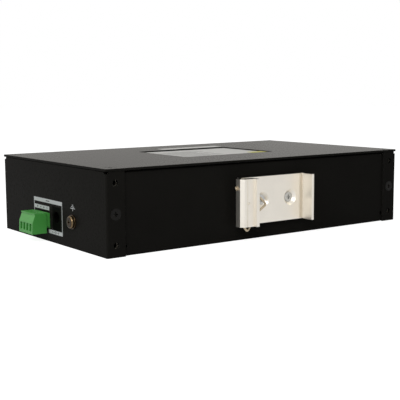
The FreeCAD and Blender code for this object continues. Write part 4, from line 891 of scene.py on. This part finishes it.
class SWITCH_OT_set_stage(bpy.types.Operator):
    """Sets the floor, the light and the camera"""

    bl_idname = "switch.set_stage"
    bl_label = "Set the stage"

    def execute(self, context):
        studio = context.scene.switch_studio
        self.lay_floor(studio)
        self.light_room(context.scene)
        middle = Vector((0.0, 0.0, 0.02))
        self.hang_lamp("key_lamp", (-1.1, -0.25, 0.7), middle, 0.9, studio.key_power)
        self.hang_lamp("front_card", (-0.33, -0.38, 0.32), middle, 0.25, studio.card_power)
        self.hang_lamp("top_lamp", (0.2, 0.3, 1.3), middle, 1.0, studio.top_power)
        self.hang_lamp("back_card", (1.1, 0.8, 0.25), middle, 0.6, studio.back_power)
        self.place_camera(context.scene, studio)
        context.scene.view_settings.view_transform = "Standard"
        return {"FINISHED"}

    def lay_floor(self, studio):
        """A wide pale floor that stays white to the eye and keeps the object's shadow."""
        mesh = bmesh.new()
        bmesh.ops.create_circle(mesh, cap_ends=True, segments=96, radius=studio.floor_radius)
        data = bpy.data.meshes.new("floor")
        mesh.to_mesh(data)
        mesh.free()
        material = bpy.data.materials.new("studio_floor")
        material.use_nodes = True
        tree = NodeTree(material.node_tree)
        mottle = tree.take("TexNoise", "Fac", {}, {"Scale": 3.0})
        pale = tree.blend((0.5, 0.5, 0.5), (0.52, 0.52, 0.52), mottle)
        lit = tree.add("BsdfDiffuse", {}, {"Color": pale})
        glow = tree.add("Emission", {}, {"Strength": self.seen(tree)})
        both = tree.add("AddShader", {}, {})
        out = tree.add("OutputMaterial", {}, {})
        tree.tree.links.new(lit.outputs[0], both.inputs[0])
        tree.tree.links.new(glow.outputs[0], both.inputs[1])
        tree.tree.links.new(both.outputs[0], out.inputs["Surface"])
        data.materials.append(material)
        floor = bpy.data.objects.new("floor", data)
        bpy.context.scene.collection.objects.link(floor)

    def seen(self, tree):
        """How far the floor is filled up to white, for the eye and for shiny and clear things."""
        return 0.86 * tree.take("LightPath", "Is Camera Ray") + 0.48 * self.mirrored(tree)

    def mirrored(self, tree):
        """1 for what shiny and clear things show, and 0 for everything else."""
        shiny = tree.take("LightPath", "Is Glossy Ray")
        clear = tree.take("LightPath", "Is Transmission Ray")
        return tree.maths("MAXIMUM", shiny, clear)

    def light_room(self, scene):
        """A white backdrop behind the object and a dimmer room in front of it."""
        world = bpy.data.worlds.new("studio")
        world.use_nodes = True
        scene.world = world
        tree = NodeTree(world.node_tree)
        direction = tree.take("TexCoord", "Generated")
        behind = tree.band(tree.part_of(direction, "Y"), -0.1, 0.35)
        above = tree.band(tree.part_of(direction, "Z"), 0.1, 0.9)
        camera = tree.take("LightPath", "Is Camera Ray")
        shiny = self.mirrored(tree)
        room = 0.06 + 0.3 * above
        card = 0.8 + 0.2 * behind
        backdrop = tree.maths("MAXIMUM", camera, shiny * card)
        level = tree.maths("MAXIMUM", backdrop, room)
        tone = tree.blend(WHITE, WARM, shiny)
        sky = tree.add("Background", {}, {"Color": tone, "Strength": level})
        out = tree.add("OutputWorld", {}, {})
        tree.tree.links.new(sky.outputs[0], out.inputs["Surface"])

    def hang_lamp(self, name, place, target, size, power):
        """A square soft lamp that faces the object."""
        lamp = bpy.data.lights.new(name, "AREA")
        lamp.size = size
        lamp.energy = power
        holder = bpy.data.objects.new(name, lamp)
        holder.location = place
        holder.rotation_euler = (target - Vector(place)).to_track_quat("-Z", "Y").to_euler()
        bpy.context.scene.collection.objects.link(holder)

    def place_camera(self, scene, studio):
        """Turns the camera about its target by its azimuth, elevation and roll."""
        camera = bpy.data.cameras.new("camera")
        camera.lens = studio.lens
        camera.sensor_width = 36.0
        turn = (
            Matrix.Rotation(studio.azimuth, 4, "Z")
            @ Matrix.Rotation(math.pi / 2 - studio.elevation, 4, "X")
            @ Matrix.Rotation(studio.roll, 4, "Z")
        )
        target = Matrix.Translation((studio.target_x, 0.0, studio.target_z))
        holder = bpy.data.objects.new("camera", camera)
        holder.matrix_world = target @ turn @ Matrix.Translation((0.0, 0.0, studio.distance))
        scene.collection.objects.link(holder)
        scene.camera = holder


class SWITCH_PT_dressing(bpy.types.Panel):
    """Lists the steps that dress the switch"""

    bl_idname = "SWITCH_PT_dressing"
    bl_label = "Network switch"
    bl_space_type = "VIEW_3D"
    bl_region_type = "UI"
    bl_category = "Switch"

    def draw(self, context):
        for name, _ in SETTINGS:
            settings = getattr(context.scene, name)
            box = self.layout.box()
            for size in settings.__annotations__:
                box.prop(settings, size)
        for step in STEPS:
            self.layout.operator(step.bl_idname)


STEPS = (
    SWITCH_OT_finish_housing,
    SWITCH_OT_finish_labels,
    SWITCH_OT_finish_fasteners,
    SWITCH_OT_finish_rail_clip,
    SWITCH_OT_finish_ground_point,
    SWITCH_OT_finish_board,
    SWITCH_OT_finish_ports,
    SWITCH_OT_finish_power_inlets,
    SWITCH_OT_print_power_marks,
    SWITCH_OT_print_earth_sign,
    SWITCH_OT_print_label,
    SWITCH_OT_set_stage,
)
SETTINGS = (
    ("switch_colours", SwitchColours),
    ("switch_marks", MarkSizes),
    ("switch_label", LabelSizes),
    ("switch_studio", StudioSettings),
)


def register():
    """Registers the settings, the operators and the panel."""
    for name, group in SETTINGS:
        bpy.utils.register_class(group)
        setattr(bpy.types.Scene, name, bpy.props.PointerProperty(type=group))
    for step in (*STEPS, SWITCH_PT_dressing):
        bpy.utils.register_class(step)


def unregister():
    """Takes them away again, last first."""
    for step in (SWITCH_PT_dressing, *reversed(STEPS)):
        bpy.utils.unregister_class(step)
    for name, group in reversed(SETTINGS):
        delattr(bpy.types.Scene, name)
        bpy.utils.unregister_class(group)


def main():
    """Runs every step in order."""
    register()
    for step in STEPS:
        group, name = step.bl_idname.split(".")
        getattr(getattr(bpy.ops, group), name)()


if __name__ == "__main__":
    main()
